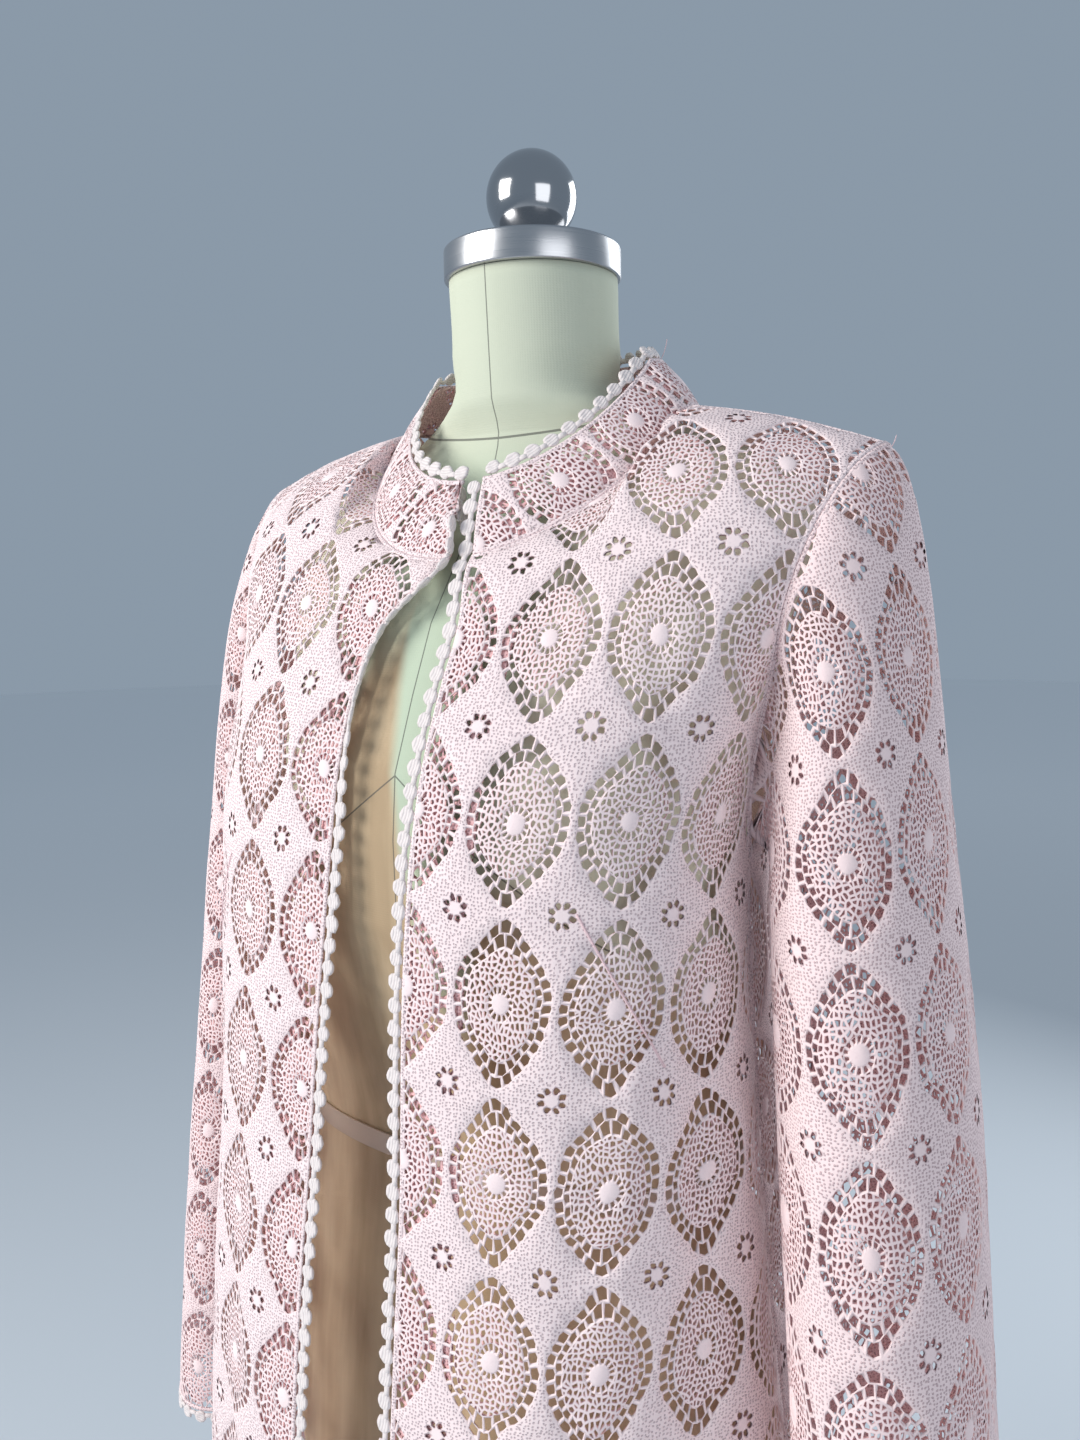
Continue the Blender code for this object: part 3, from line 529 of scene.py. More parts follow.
# springs of the true lengths pull the flat cut even
def evened(flat, points):
    pairs = (
        (np.s_[:-1, :], np.s_[1:, :]), (np.s_[:, :-1], np.s_[:, 1:]),
        (np.s_[:-1, :-1], np.s_[1:, 1:]), (np.s_[:-1, 1:], np.s_[1:, :-1]),
        (np.s_[:-3, :], np.s_[3:, :]), (np.s_[:, :-3], np.s_[:, 3:]),
    )
    lengths = [np.linalg.norm(points[b] - points[a], axis=2) for a, b in pairs]
    real = cellSizes(points)
    sign = np.sign(np.median(cellSizes(flat)))
    for _ in range(evenRounds):
        flat = unfolded(flat, real, sign, unfoldSteps, "reflect").copy()
        for _ in range(springSteps):
            move = np.zeros_like(flat)
            count = np.zeros(flat.shape[:2])
            for (a, b), length in zip(pairs, lengths):
                gap = flat[b] - flat[a]
                now = np.maximum(np.linalg.norm(gap, axis=2), 1e-9)
                push = gap * ((now - length) / now / 2)[..., None]
                move[a] += push
                move[b] -= push
                count[a] += 1
                count[b] += 1
            flat += move / count[..., None] * springPush
    return unfolded(flat, real, sign, lastUnfoldSteps, "edge")


def treeOf(places):
    tree = KDTree(len(places))
    for k, place in enumerate(places):
        tree.insert((place[0], place[1], 0.0), k)
    tree.balance()
    return tree


def nearest(tree, places):
    return np.array([tree.find((p[0], p[1], 0.0))[1] for p in places], int)


# value of a grid at broken rows and columns, and its slope each way
def between(grid, r, c):
    i = np.clip(r.astype(int), 0, grid.shape[0] - 2)
    j = np.clip(c.astype(int), 0, grid.shape[1] - 2)
    a = (r - i)[:, None]
    b = (c - j)[:, None]
    g00, g01, g10, g11 = grid[i, j], grid[i, j + 1], grid[i + 1, j], grid[i + 1, j + 1]
    value = (g00 * (1 - b) + g01 * b) * (1 - a) + (g10 * (1 - b) + g11 * b) * a
    byRow = (g10 - g00) * (1 - b) + (g11 - g01) * b
    byColumn = (g01 - g00) * (1 - a) + (g11 - g10) * a
    return value, byRow, byColumn


# search on the flat cut, in cells and metres
newtonSteps = 12
longestStep = 0.6
offSheet = 0.0004
rimStep = 0.2


# a curved piece of cloth that flat places can be looked up on
class Sheet:
    def __init__(self, points, normals, straightRows, middle):
        self.points = points
        self.normals = normals
        self.flat = evened(flatPlaces(points, normals, straightRows, middle), points)
        self.area = float(np.abs(cellSizes(self.flat)).sum())
        places = self.flat.reshape(-1, 2)
        self.cut = tuple(round(float(size), 3) for size in np.ptp(places, axis=0))

        # a lookup of the grid's own points and one of fine steps along its four borders
        rows, columns = self.flat.shape[:2]
        self.grid = treeOf(places)
        fineR = np.arange(0, rows - 0.9, rimStep)
        fineC = np.arange(0, columns - 0.9, rimStep)
        self.rimR = np.concatenate([fineR, fineR, fineC * 0, fineC * 0 + rows - 1])
        self.rimC = np.concatenate([fineR * 0, fineR * 0 + columns - 1, fineC, fineC])
        self.rim = treeOf(between(self.flat, self.rimR, self.rimC)[0])

    # row and column of each flat place by Newton steps, and which places lie off the sheet
    def locate(self, places):
        rows, columns = self.flat.shape[:2]
        node = nearest(self.grid, places)
        r = (node // columns).astype(float)
        c = (node % columns).astype(float)
        for _ in range(newtonSteps):
            value, byRow, byColumn = between(self.flat, r, c)
            miss = places - value
            det = byRow[:, 0] * byColumn[:, 1] - byRow[:, 1] * byColumn[:, 0]
            det = np.where(np.abs(det) < 1e-9, 1e-9, det)
            dr = (miss[:, 0] * byColumn[:, 1] - miss[:, 1] * byColumn[:, 0]) / det
            dc = (byRow[:, 0] * miss[:, 1] - byRow[:, 1] * miss[:, 0]) / det
            r = np.clip(r + np.clip(dr, -longestStep, longestStep), 0, rows - 1)
            c = np.clip(c + np.clip(dc, -longestStep, longestStep), 0, columns - 1)
        value = between(self.flat, r, c)[0]
        outside = np.linalg.norm(places - value, axis=1) > offSheet
        rim = nearest(self.rim, places[outside])
        r[outside] = self.rimR[rim]
        c[outside] = self.rimC[rim]
        return r, c, outside

    def at(self, r, c, lift=0.0):
        point = between(self.points, r, c)[0]
        normal = between(self.normals, r, c)[0]
        normal /= np.linalg.norm(normal, axis=1, keepdims=True)
        return point + normal * np.asarray(lift)[..., None], normal


# rows and columns of the grids
underarmRow = 90
lowRises = np.concatenate([np.linspace(0, 1, underarmRow + 1), np.linspace(1, 2, 19)[1:]])
topRises = np.linspace(0, 1, 25)[1:]
frontShares = np.linspace(0, 1, 61)
backShares = np.linspace(0, 1, 49)
foldFade = 0.05
sleeveCapRows = 22
sleeveLowRows = 66
sleeveTop = 44
sleeveLookRow = 10  # a row that shows which way is out
collarRows = 9
collarColumns = 181


def bodySheets():
    sheets = {}
    seams = {}
    halves = {}
    for side, label in ((1, "Left"), (-1, "Right")):
        points = panelSurface(side, False, frontShares, lowRises, topRises)
        seams[side, False] = points[underarmRow:, -1]
        depth = foldDepth(bodyFolds, "front" + label, frontShares, points[:, :, 2])
        depth *= np.clip((1 - frontShares) / foldFade, 0, 1)[None]
        points = points + surfaceNormals(points, side) * depth[..., None]
        sheets["front" + label] = Sheet(points, surfaceNormals(points, side), len(lowRises), 0)
        halves[side] = panelSurface(side, True, backShares, lowRises, topRises)
        seams[side, True] = halves[side][underarmRow:, -1]
    points = np.concatenate([halves[-1][:, ::-1], halves[1][:, 1:]], axis=1)
    middle = len(backShares) - 1
    rightDepth = foldDepth(bodyFolds, "backRight", backShares, points[:, middle::-1, 2])[:, ::-1]
    leftDepth = foldDepth(bodyFolds, "backLeft", backShares, points[:, middle:, 2])
    depth = np.concatenate([rightDepth, leftDepth[:, 1:]], axis=1)
    depth *= np.clip((1 - np.abs(np.linspace(-1, 1, depth.shape[1]))) / foldFade, 0, 1)[None]
    points = points + surfaceNormals(points, -1) * depth[..., None]
    sheets["back"] = Sheet(points, surfaceNormals(points, -1), len(lowRises), middle)
    return sheets, seams


# one sleeve, from the underarm round the front, over the top and down the back
def sleeveSheet(side, seams):
    parts = []
    for back in (False, True):
        seam = along(seams[side, back], np.linspace(0, 1, sleeveTop + 1))
        part = sleeveSurface(side, seam, seamTurns(seam, back), sleeveCapRows, sleeveLowRows)
        parts.append(part if not back else part[:, ::-1][:, 1:])
    points = np.concatenate(parts, axis=1)
    normals = surfaceNormals(points, side)
    outward = points[sleeveLookRow, sleeveTop] - points[sleeveLookRow].mean(axis=0)
    if np.dot(normals[sleeveLookRow, sleeveTop], outward) < 0:
        normals = -normals
    depth = foldDepth(sleeveFolds, side, np.linspace(0, 1, points.shape[1]), points[:, :, 2])
    points = points + normals * depth[..., None]
    return Sheet(points, normals, sleeveLowRows + 1, sleeveTop)


# the stand collar, from its right end round the back to its left end
def collarSheet():
    first, last = (math.asin(endBaseX[side] / neck["half"]) for side in (-1, 1))
    angles = np.linspace(first, last - 2 * math.pi, collarColumns)
    base = neckRing(angles, neck)
    top = neckRing(angles, collarTopSizes)
    for end, side in ((0, -1), (-1, 1)):
        base[end, 0] = endBaseX[side]
        top[end, 0] = endTopX[side]
    up = np.linspace(0, 1, collarRows)[:, None, None]
    points = base[None] * (1 - up) + top[None] * up
    normals = surfaceNormals(points, 1)
    middle = collarColumns // 2
    if np.dot(normals[collarRows // 2, middle], (0, 1, 0)) < 0:
        normals = -normals
    points = points + normals * (collarBow * np.sin(math.pi * up))
    return Sheet(points, normals, collarRows, middle)


# lace

repeatAcross = 0.0525
repeatUp = 0.0845
repeatSize = np.array((repeatAcross, repeatUp))
strandHalf = 0.00070
strandLift = 0.00066
solidLift = 0.00048
quarter = 14
halfWayFrom, halfWayTo = 3, 11
starReach = 0.0105
tipPower = 14
dotRise = 1.8
# least and most of the way that a strand's rim keeps to its corner, and how it is evened
rimShares = (0.25, 0.9)
rimEven = 0.7

# half sizes in mm, how far the tip is drawn out, every how many points, lift
medallion = {
    "dot": (3.9, 4.4, 0.0, 4, strandLift),
    "eye": (6.9, 8.4, 0.0, 2, strandLift),
    "netLow": (10.3, 13.4, 0.4, 2, solidLift),
    "netHigh": (13.9, 18.2, 1.6, 2, solidLift),
    "inner": (17.3, 22.6, 4.0, 2, strandLift),
    "middle": (20.4, 26.5, 7.6, 1, strandLift),
    "outer": (24.9, 31.0, 9.8, 1, strandLift),
}


# evenly spaced points of a quarter ring, from its side to its top
def quarterPoints(halfX, halfY, tip):
    t = np.linspace(0, math.pi / 2, 401)
    x = halfX * np.cos(t).clip(0)
    y = halfY * np.sin(t) + tip * np.sin(t) ** tipPower
    made = []
    for part in (slice(0, 201), slice(200, 401)):
        px, py = x[part], y[part]
        run = np.concatenate([[0.0], np.cumsum(np.hypot(np.diff(px), np.diff(py)))])
        wanted = np.linspace(0, run[-1], quarter // 2 + 1)
        made.append(np.stack([np.interp(wanted, run, px), np.interp(wanted, run, py)], axis=1))
    return np.concatenate([made[0], made[1][1:]])


# one repeat of the lace: a medallion in the middle and a quarter of a star at each corner
def laceTile():
    places, lifts, marks, faces = [], [], [], []

    def add(x, y, lift, turn, ring):
        places.append((x / 1000, y / 1000))
        lifts.append(lift)
        marks.append((turn, ring))
        return len(places) - 1

    def ringOf(points, lift, number, every=1):
        made = []
        for i in range(0, 4 * quarter, every):
            q, k = divmod(i, quarter)
            k = quarter - k if q % 2 else k
            x, y = points[k]
            made.append(add(x if q in (0, 3) else -x, y if q < 2 else -y, lift, k, number))
        return made

    # a strand round an opening: its crest is on the corners and its rim lies inside them
    def hole(corners):
        ring = np.array([places[k] for k in corners])
        own = np.array([marks[k] for k in corners])
        middle, mark = ring.mean(axis=0), own.mean(axis=0)
        edge = np.roll(ring, -1, axis=0) - ring
        arm = middle - ring
        reach = np.abs(edge[:, 0] * arm[:, 1] - edge[:, 1] * arm[:, 0]) / np.linalg.norm(edge, axis=1)
        near = (reach + np.roll(reach, 1)) / 2
        length = np.linalg.norm(arm, axis=1)
        share = np.clip(1 - strandHalf / near, *rimShares) * (length.mean() / length) ** rimEven
        rim = []
        for a, m, s in zip(arm, own, share):
            x, y = (middle - a * s) * 1000
            turn, number = mark + (m - mark) * s
            rim.append(add(x, y, 0.0, turn, number))
        for k in range(len(corners)):
            n = (k + 1) % len(corners)
            faces.append((corners[k], corners[n], rim[n], rim[k]))

    def band(first, second):
        for k in range(len(first)):
            n = (k + 1) % len(first)
            faces.append((first[k], second[k], second[n], first[n]))

    made = {}
    for number, (name, (halfX, halfY, tip, every, lift)) in enumerate(medallion.items()):
        made[name] = ringOf(quarterPoints(halfX, halfY, tip), lift, number + 1, every)
    dot, eye, inner, middle, outer = (made[name] for name in ("dot", "eye", "inner", "middle", "outer"))
    centre = add(0.0, 0.0, solidLift * dotRise, 0, 0)
    for k in range(len(dot)):
        faces.append((centre, dot[k], dot[(k + 1) % len(dot)]))
        hole([dot[k], eye[2 * k], eye[2 * k + 1], eye[(2 * k + 2) % len(eye)], dot[(k + 1) % len(dot)]])
    band(eye, made["netLow"])
    band(made["netLow"], made["netHigh"])
    band(made["netHigh"], inner)
    count = len(middle)
    for k in range(len(inner)):
        n = (k + 1) % len(inner)
        hole([inner[k], middle[2 * k], middle[2 * k + 1], middle[(2 * k + 2) % count], inner[n]])
        a, b, c = 2 * k + 1, (2 * k + 2) % count, (2 * k + 3) % count
        hole([middle[a], outer[a], outer[b], outer[c], middle[c], middle[b]])
    halfW, halfH = repeatAcross * 500, repeatUp * 500
    half = quarter // 2
    border = [(halfW, halfH * k / half) for k in range(half + 1)]
    border += [(halfW * (quarter - k) / half, halfH) for k in range(half + 1, quarter + 1)]
    edge = ringOf(border, solidLift, 8)
    # an extra row of points from a medallion to the star, apart from the medallion's sides and tips
    halfWay = {}
    for i in range(count):
        if halfWayFrom <= marks[outer[i]][0] <= halfWayTo:
            x, y = (np.array(places[outer[i]]) + places[edge[i]]) * 500
            halfWay[i] = add(x, y, solidLift, marks[outer[i]][0], 7.5)
    for i in range(count):
        n = (i + 1) % count
        a = halfWay.get(i, outer[i])
        b = halfWay.get(n, outer[n])
        # three corners where the extra row begins or ends, and none where it isn't there
        near = tuple(dict.fromkeys((outer[i], a, b, outer[n])))
        if len(near) > 2:
            faces.append(near)
        faces.append((a, edge[i], edge[n], b))
    return np.array(places), np.array(lifts), np.array(marks, float), faces


tilePlaces, tileLifts, tileMarks, tileFaces = laceTile()


# length in metres and size of the waves
strays = ((0.090, 0.0012), (0.046, 0.0008), (0.019, 0.00050), (0.0095, 0.00032))
wavesEach = 3
waveShare = 0.6
pointStray = 0.00010


# how far each flat place strays from an even pattern
def handMade(places, seed):
    rng = np.random.default_rng(seed)
    total = rng.normal(0, pointStray, places.shape)
    for length, amount in strays:
        for _ in range(wavesEach):
            turn, way, start = rng.uniform(0, 2 * math.pi, 3)
            wave = places @ (math.cos(turn), math.sin(turn)) * (2 * math.pi / length) + start
            total += np.sin(wave)[:, None] * (math.cos(way), math.sin(way)) * amount * waveShare
    return total


# the lace laid over a sheet of cloth: points, faces, places in the pattern and material numbers
def laceMesh(sheet, offset, seed, area=None, lift=0.0, thin=1.0):
    flat = sheet.flat.reshape(-1, 2)
    low, high = area if area else (flat.min(axis=0), flat.max(axis=0))
    first = np.floor((np.array(low) - offset) / repeatSize - 0.5).astype(int)
    last = np.ceil((np.array(high) - offset) / repeatSize + 0.5).astype(int)
    starts = [(k, m) for k in range(first[0], last[0] + 1) for m in range(first[1], last[1] + 1)]
    centres = np.array(starts) * repeatSize + offset
    count = len(tilePlaces)
    places = (centres[:, None] + tilePlaces[None]).reshape(-1, 2)
    rounded = np.round(places * 1e5).astype(np.int64)
    _, keep, inverse = np.unique(rounded, axis=0, return_index=True, return_inverse=True)
    inverse = inverse.reshape(-1)
    places = places[keep]
    lifts = np.tile(tileLifts, len(starts))[keep]
    marks = np.tile(tileMarks, (len(starts), 1))[keep]
    moved = places + handMade(places, seed)
    beyond = np.zeros(len(moved), bool)
    if area:
        moved = np.clip(moved, low, high)
        beyond = np.any((moved <= np.array(low) + 1e-9) | (moved >= np.array(high) - 1e-9), axis=1)
    r, c, outside = sheet.locate(moved)
    outside |= beyond
    lifts = np.where(outside, 0.0, lifts) * thin
    front, _ = sheet.at(r, c, lift + lifts)
    back, _ = sheet.at(r, c, lift - lifts)
    total = len(places)
    backIndex = np.where(lifts > 0, np.arange(total) + total, np.arange(total))
    faces, kinds = [], []
    for corners in (3, 4):
        chosen = np.array([f for f in tileFaces if len(f) == corners])
        ring = tileMarks[chosen, 1]
        middles = tilePlaces[chosen].mean(axis=1)
        fromStar = np.linalg.norm(repeatSize / 2 - np.abs(middles), axis=1)
        # 0 yarn, 2 net and 4 star, each with 1 more on the inside
        net = (ring.min(axis=1) >= 2) & (ring.max(axis=1) <= 5)
        star = (ring.min(axis=1) >= 7) & (fromStar < starReach)
        kindOf = net * 2 + star * 4
        every = inverse[(np.arange(len(starts)) * count)[:, None, None] + chosen[None]].reshape(-1, corners)
        kindOf = np.tile(kindOf, len(starts))
        kept = ~outside[every].all(axis=1)
        every, kindOf = every[kept], kindOf[kept]
        faces += every.tolist() + backIndex[every][:, ::-1].tolist()
        kinds += kindOf.tolist() + (kindOf + 1).tolist()
    maps = np.concatenate([(places - offset) / repeatSize, marks], axis=1)
    return np.concatenate([front, back]), faces, np.concatenate([maps, maps]), kinds


# faces of a grid of points, row after row, going round where told
def gridFaces(rows, columns, rowsMeet=False, columnsMeet=False, base=0):
    faces = []
    for k in range(rows if rowsMeet else rows - 1):
        for s in range(columns if columnsMeet else columns - 1):
            n = (k + 1) % rows
            t = (s + 1) % columns
            corners = (k * columns + s, k * columns + t, n * columns + t, n * columns + s)
            faces.append(tuple(base + corner for corner in corners))
    return faces


# the same for rings one above the other, with both ends closed
def tubeFaces(rings, sides, base=0):
    faces = gridFaces(rings, sides, columnsMeet=True, base=base)
    faces.append(tuple(base + k for k in range(sides))[::-1])
    faces.append(tuple(base + (rings - 1) * sides + k for k in range(sides)))
    return faces


# share of the width and of the height over the cloth
bandProfile = ((0, 0.5), (0.5, 1.0), (1, 0.3))


# a narrow strip of close stitches inside one border of a sheet
def edgeBand(sheet, where, width, lift, offset):
    upright = where in ("first", "last")
    points = sheet.points.swapaxes(0, 1) if upright else sheet.points
    start, sign = (0.0, 1) if where in ("first", "bottom") else (len(points) - 1.0, -1)
    step = np.linalg.norm(points[1] - points[0] if sign > 0 else points[-1] - points[-2], axis=1)
    run = np.arange(0, points.shape[1], 1.0)
    made, maps = [], []
    for share, amount in bandProfile:
        inward = np.clip(start + sign * width * share / step, 0, len(points) - 1.0)
        r, c = (run, inward) if upright else (inward, run)
        flat = (between(sheet.flat, r, c)[0] - offset) / repeatSize
        mark = np.concatenate([flat, np.full((len(flat), 2), (0.0, 8.0))], axis=1)
        for side in (1, -1):
            made.append(sheet.at(r, c, np.full(len(r), side * lift * amount))[0])
            maps.append(mark)
    order = (0, 2, 4, 5, 3, 1)
    count = len(run)
    faces = gridFaces(6, count, rowsMeet=True)
    faces.append(tuple(k * count for k in range(6)))
    faces.append(tuple(k * count + count - 1 for k in range(6))[::-1])
    verts = np.concatenate([made[k] for k in order])
    return verts, faces, np.concatenate([maps[k] for k in order]), [0] * len(faces)


# every piece is still; nodes are the solids that it stands for
def placed(thing, slot, *nodes):
    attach(thing, "root")
    if nodes:
        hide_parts(*nodes)


# one object from several lots of points, faces, map places and material numbers
def newMesh(name, parts, materials):
    faces, kinds = [], []
    base = 0
    for points, quads, _, kind in parts:
        faces += [tuple(k + base for k in f) for f in quads]
        kinds += kind
        base += len(points)
    verts = np.concatenate([part[0] for part in parts])
    maps = np.concatenate([part[2] for part in parts])
    mesh = bpy.data.meshes.new(name)
    mesh.from_pydata(verts.tolist(), [], faces)
    mesh.polygons.foreach_set("material_index", kinds)
    loops = np.zeros(len(mesh.loops), int)
    mesh.loops.foreach_get("vertex_index", loops)
    for k, layerName in enumerate(("laceMap", "ringMap")[:maps.shape[1] // 2]):
        layer = mesh.uv_layers.new(name=layerName)
        layer.data.foreach_set("uv", maps[loops, 2 * k:2 * k + 2].astype(np.float32).ravel())
    mesh.validate()
    bm = bmesh.new()
    bm.from_mesh(mesh)
    bmesh.ops.dissolve_degenerate(bm, dist=2e-6, edges=bm.edges[:])
    bmesh.ops.delete(bm, geom=[v for v in bm.verts if not v.link_faces], context="VERTS")
    bmesh.ops.recalc_face_normals(bm, faces=bm.faces[:])
    bm.to_mesh(mesh)
    bm.free()
    for material in materials:
        mesh.materials.append(material.data)
    mesh.shade_smooth()
    thing = bpy.data.objects.new(name, mesh)
    bpy.context.scene.collection.objects.link(thing)
    return thing


# materials of the cloth

# sizes in mm
netCell = (2.5, 3.3)
stitchCell = (1.9, 1.7)
eyeletRing = 5.1
starMiddle = 7.2


def laceMaterial(name, light, shade, kind):
    m = Material(name, Roughness=0.92, Specular_IOR_Level=0.12)
    u, v, _ = m.map("laceMap").xyz()
    if kind == "net":
        # uneven small openings, higher than wide
        place = joinXyz(u * (repeatAcross * 1000 / netCell[0]), v * (repeatUp * 1000 / netCell[1]))
        rim = place.node(
            "ShaderNodeTexVoronoi", {"feature": "DISTANCE_TO_EDGE", "voronoi_dimensions": "2D"},
            Vector=place, Scale=1.0, Randomness=0.8,
        )
        m.feed("Alpha", rim < 0.195)
        # each strand darkens towards the openings beside it: painted shade on the rounded yarn
        m.feed("Base Color", (rim * 1.8).mix(light, shade))
    else:
        # stitches: small uneven dents, bumped and darkened with painted shade
        ring = m.map("ringMap").xyz()[1]
        place = joinXyz(u * (repeatAcross * 1000 / stitchCell[0]), v * (repeatUp * 1000 / stitchCell[1]))
        spot = place.node(
            "ShaderNodeTexVoronoi", {"feature": "F1", "voronoi_dimensions": "2D"},
            Vector=place, Scale=1.0, Randomness=0.6,
        )
        dentsAndShade = (1 - spot.smooth(0.14, 0.34)) * (ring > 7.02)
        if kind == "star":
            # eight eyelets round the middle of a star
            eu = (u.math("FRACT") - 0.5) * (repeatAcross * 1000)
            ev = (v.math("FRACT") - 0.5) * (repeatUp * 1000)
            reach = (eu * eu + ev * ev).math("SQRT")
            eighth = (ev.math("ARCTAN2", eu) * (4 / math.pi)).math("FRACT")
            off = (eighth - 0.5) * (math.pi / 4) * reach
            ringOff = reach - eyeletRing
            eyelet = (off * off + ringOff * ringOff * 0.6).math("SQRT") + (spot - 0.4) * 0.7
            m.feed("Alpha", 1 - (eyelet < 1.25))
            # inside the star's middle the stitch dents give way to a darker ring round each eyelet: painted
            # shade at its rim
            dentsAndShade = dentsAndShade * (reach > starMiddle) + (1 - eyelet.smooth(1.2, 1.9)) * (reach < starMiddle)
        # the shade colour goes into the dents and round the eyelets as painted shade, with a random tone of
        # the yarn over it
        tone = dentsAndShade * 0.75 + (m.noise(1000.0, 1.0, 0.6) - 0.5) * 0.5
        m.feed("Base Color", tone.math("MAXIMUM", 0.0).math("MINIMUM", 1.0).mix(light, shade))
        m.bump(1 - dentsAndShade, 0.8, 0.0006)
    return m


def laceSet(name, outside, insideShade):
    made = []
    for kind in ("yarn", "net", "star"):
        made.append(laceMaterial(name + kind.capitalize(), *outside, kind))
        made.append(laceMaterial(name + kind.capitalize() + "Inside", *insideShade, kind))
    return made


print("cloth materials")
# light and shade of each: on the lace the shade colour is painted shade in the dents, round the eyelets and
# at the net's strand rims; on the seams, trim and tape the second colour is a darker tone of the yarn in its
# fuzz, grain and ribs
tones = {
    "body": ((0.91, 0.755, 0.755, 1), (0.56, 0.42, 0.45, 1)),
    # sleeve: the body's lace in a pinker tone, painted pink light through the sleeve's two layers
    "sleeve": ((0.915, 0.73, 0.725, 1), (0.60, 0.41, 0.43, 1)),
    # facing: the same lace in deeper pink for the second layer, painted shade between the two layers
    "facing": ((0.88, 0.56, 0.56, 1), (0.64, 0.32, 0.34, 1)),
    # inside: the same lace in deeper pink on the inner faces, painted shade and the pink light that passes
    # through the yarn
    "insideShade": ((0.88, 0.60, 0.59, 1), (0.66, 0.36, 0.37, 1)),
    "seam": ((0.86, 0.66, 0.68, 1), (0.72, 0.48, 0.50, 1)),
    "trim": ((0.86, 0.80, 0.78, 1), (0.66, 0.55, 0.54, 1)),
    "tape": ((0.70, 0.58, 0.48, 1), (0.58, 0.46, 0.37, 1)),
}
sleeveLace = laceSet("sleeve", tones["sleeve"], tones["insideShade"])
lace = laceSet("lace", tones["body"], tones["insideShade"])
laceFacing = laceSet("facing", tones["facing"], tones["insideShade"])
seamCotton = Material("seamCotton", Roughness=0.92, Specular_IOR_Level=0.12)
seamFuzz = seamCotton.noise(1100.0, 2.0, 0.6)
seamCotton.feed("Base Color", seamFuzz.mix(*tones["seam"]))
seamCotton.bump(seamFuzz, 0.8, 0.0006)


# jacket

print("cloth sheets")
sheets, seams = bodySheets()
sheets["sleeveLeft"] = sleeveSheet(1, seams)
sheets["sleeveRight"] = sleeveSheet(-1, seams)
sheets["collar"] = collarSheet()

lacePieces = {
    "frontLeft": {"offset": (0.001, 0.012), "nodes": ("front_left",), "seed": 1},
    "frontRight": {"offset": (0.009, 0.030), "nodes": ("front_right",), "seed": 2},
    "back": {"offset": (0.0, 0.020), "nodes": ("back",), "seed": 3},
    "sleeveLeft": {
        "offset": (-0.024, 0.021), "nodes": ("sleeve_left_front", "sleeve_left_back"), "seed": 4,
    },
    "sleeveRight": {
        "offset": (0.014, 0.030), "nodes": ("sleeve_right_front", "sleeve_right_back"), "seed": 5,
    },
    "collar": {"offset": (0.010, 0.020), "nodes": ("collar",), "seed": 6},
}
seamBand = 0.0026
underarmBand = 0.0085
underarmRows = (68, 78)
bandLift = 0.00075
for name, piece in lacePieces.items():
    sheet = sheets[name]
    offset = np.array(piece["offset"])
    parts = [laceMesh(sheet, offset, piece["seed"])]
    for where in ("first", "last", "bottom", "top"):
        width = seamBand
        if name.startswith("sleeve") and where in ("first", "last"):
            # wider seam allowance under the arm
            width = np.interp(np.arange(len(sheet.points)), underarmRows, (seamBand, underarmBand))
        parts.append(edgeBand(sheet, where, width, bandLift, offset))
    thing = newMesh("lace_" + name, parts, sleeveLace if name.startswith("sleeve") else lace)
    placed(thing, "lace", *piece["nodes"])
    triangles = sum(len(p.vertices) - 2 for p in thing.data.polygons)
    print(name, triangles, "triangles", sheet.cut, round(sheet.area, 4))

# pinker second layer inside the front edges and the collar, its deeper pink painted shade between the two
# layers
facingArea = ((0.001, 0.004), (0.034, 0.640))
facingLift = -0.0016
facingThin = 0.8
facings = {
    "facingLeft": {"sheet": "frontLeft", "area": facingArea, "offset": (0.022, 0.05), "seed": 7},
    "facingRight": {"sheet": "frontRight", "area": facingArea, "offset": (0.028, 0.07), "seed": 8},
    "collarInner": {"sheet": "collar", "area": None, "offset": (0.030, 0.045), "seed": 9},
}
for name, piece in facings.items():
    sheet = sheets[piece["sheet"]]
    made = laceMesh(sheet, np.array(piece["offset"]), piece["seed"], piece["area"], facingLift, facingThin)
    thing = newMesh("lace_" + name, [made], laceFacing)
    placed(thing, "lace")
    print(name, len(thing.data.polygons), "faces")


# edging of small discs

edging = {
    "pitch": 0.0116, "gap": 0.0003, "half": 0.0042, "halfAlong": 0.0046, "thick": 0.0022, "sides": 14,
    "sizeStray": 0.04, "rimStray": 0.05, "tiltStray": 0.10,
    "link": 0.0030, "linkIn": 0.0010, "linkWide": 0.0016, "linkThick": 0.0010, "linkSides": 8,
    # share of the radius and height of each ring, from the middle of the front round to the back
    "profile": (
        (0.25, 0.30), (0.60, 0.50), (0.86, 0.40), (1.0, 0.0), (0.86, -0.40), (0.60, -0.50), (0.25, -0.30),
    ),
}


# middle and three directions of each disc along a border
def edgeFrames(line, outward, normals, curl, closed):
    if closed:
        parts = (line, outward, normals, curl)
        line, outward, normals, curl = (np.concatenate([part, part[:1]]) for part in parts)
    total = runOf(line)

    def at(values, place):
        return np.array([np.interp(place, total, values[:, k]) for k in range(3)])

    discs = round(total[-1] / edging["pitch"])
    frames = []
    for k in range(discs):
        place = (k + 0.5) * (total[-1] / discs)
        point, out, normal = (at(part, place) for part in (line, outward, normals))
        ahead = at(line, place + 0.001)
        behind = at(line, place - 0.001)
        forward = (ahead - behind) / np.linalg.norm(ahead - behind)
        normal = normal - forward * np.dot(normal, forward)
        normal /= np.linalg.norm(normal)
        side = np.cross(normal, forward)
        side *= np.sign(np.dot(side, out))
        turn = np.interp(place, total, curl)
        start = point + side * (edging["gap"] + edging["thick"] / 2 * math.sin(turn))
        out = side * math.cos(turn) + normal * math.sin(turn)
        up = normal * math.cos(turn) - side * math.sin(turn)
        frames.append((start + out * edging["half"], out, up, forward))
    return frames


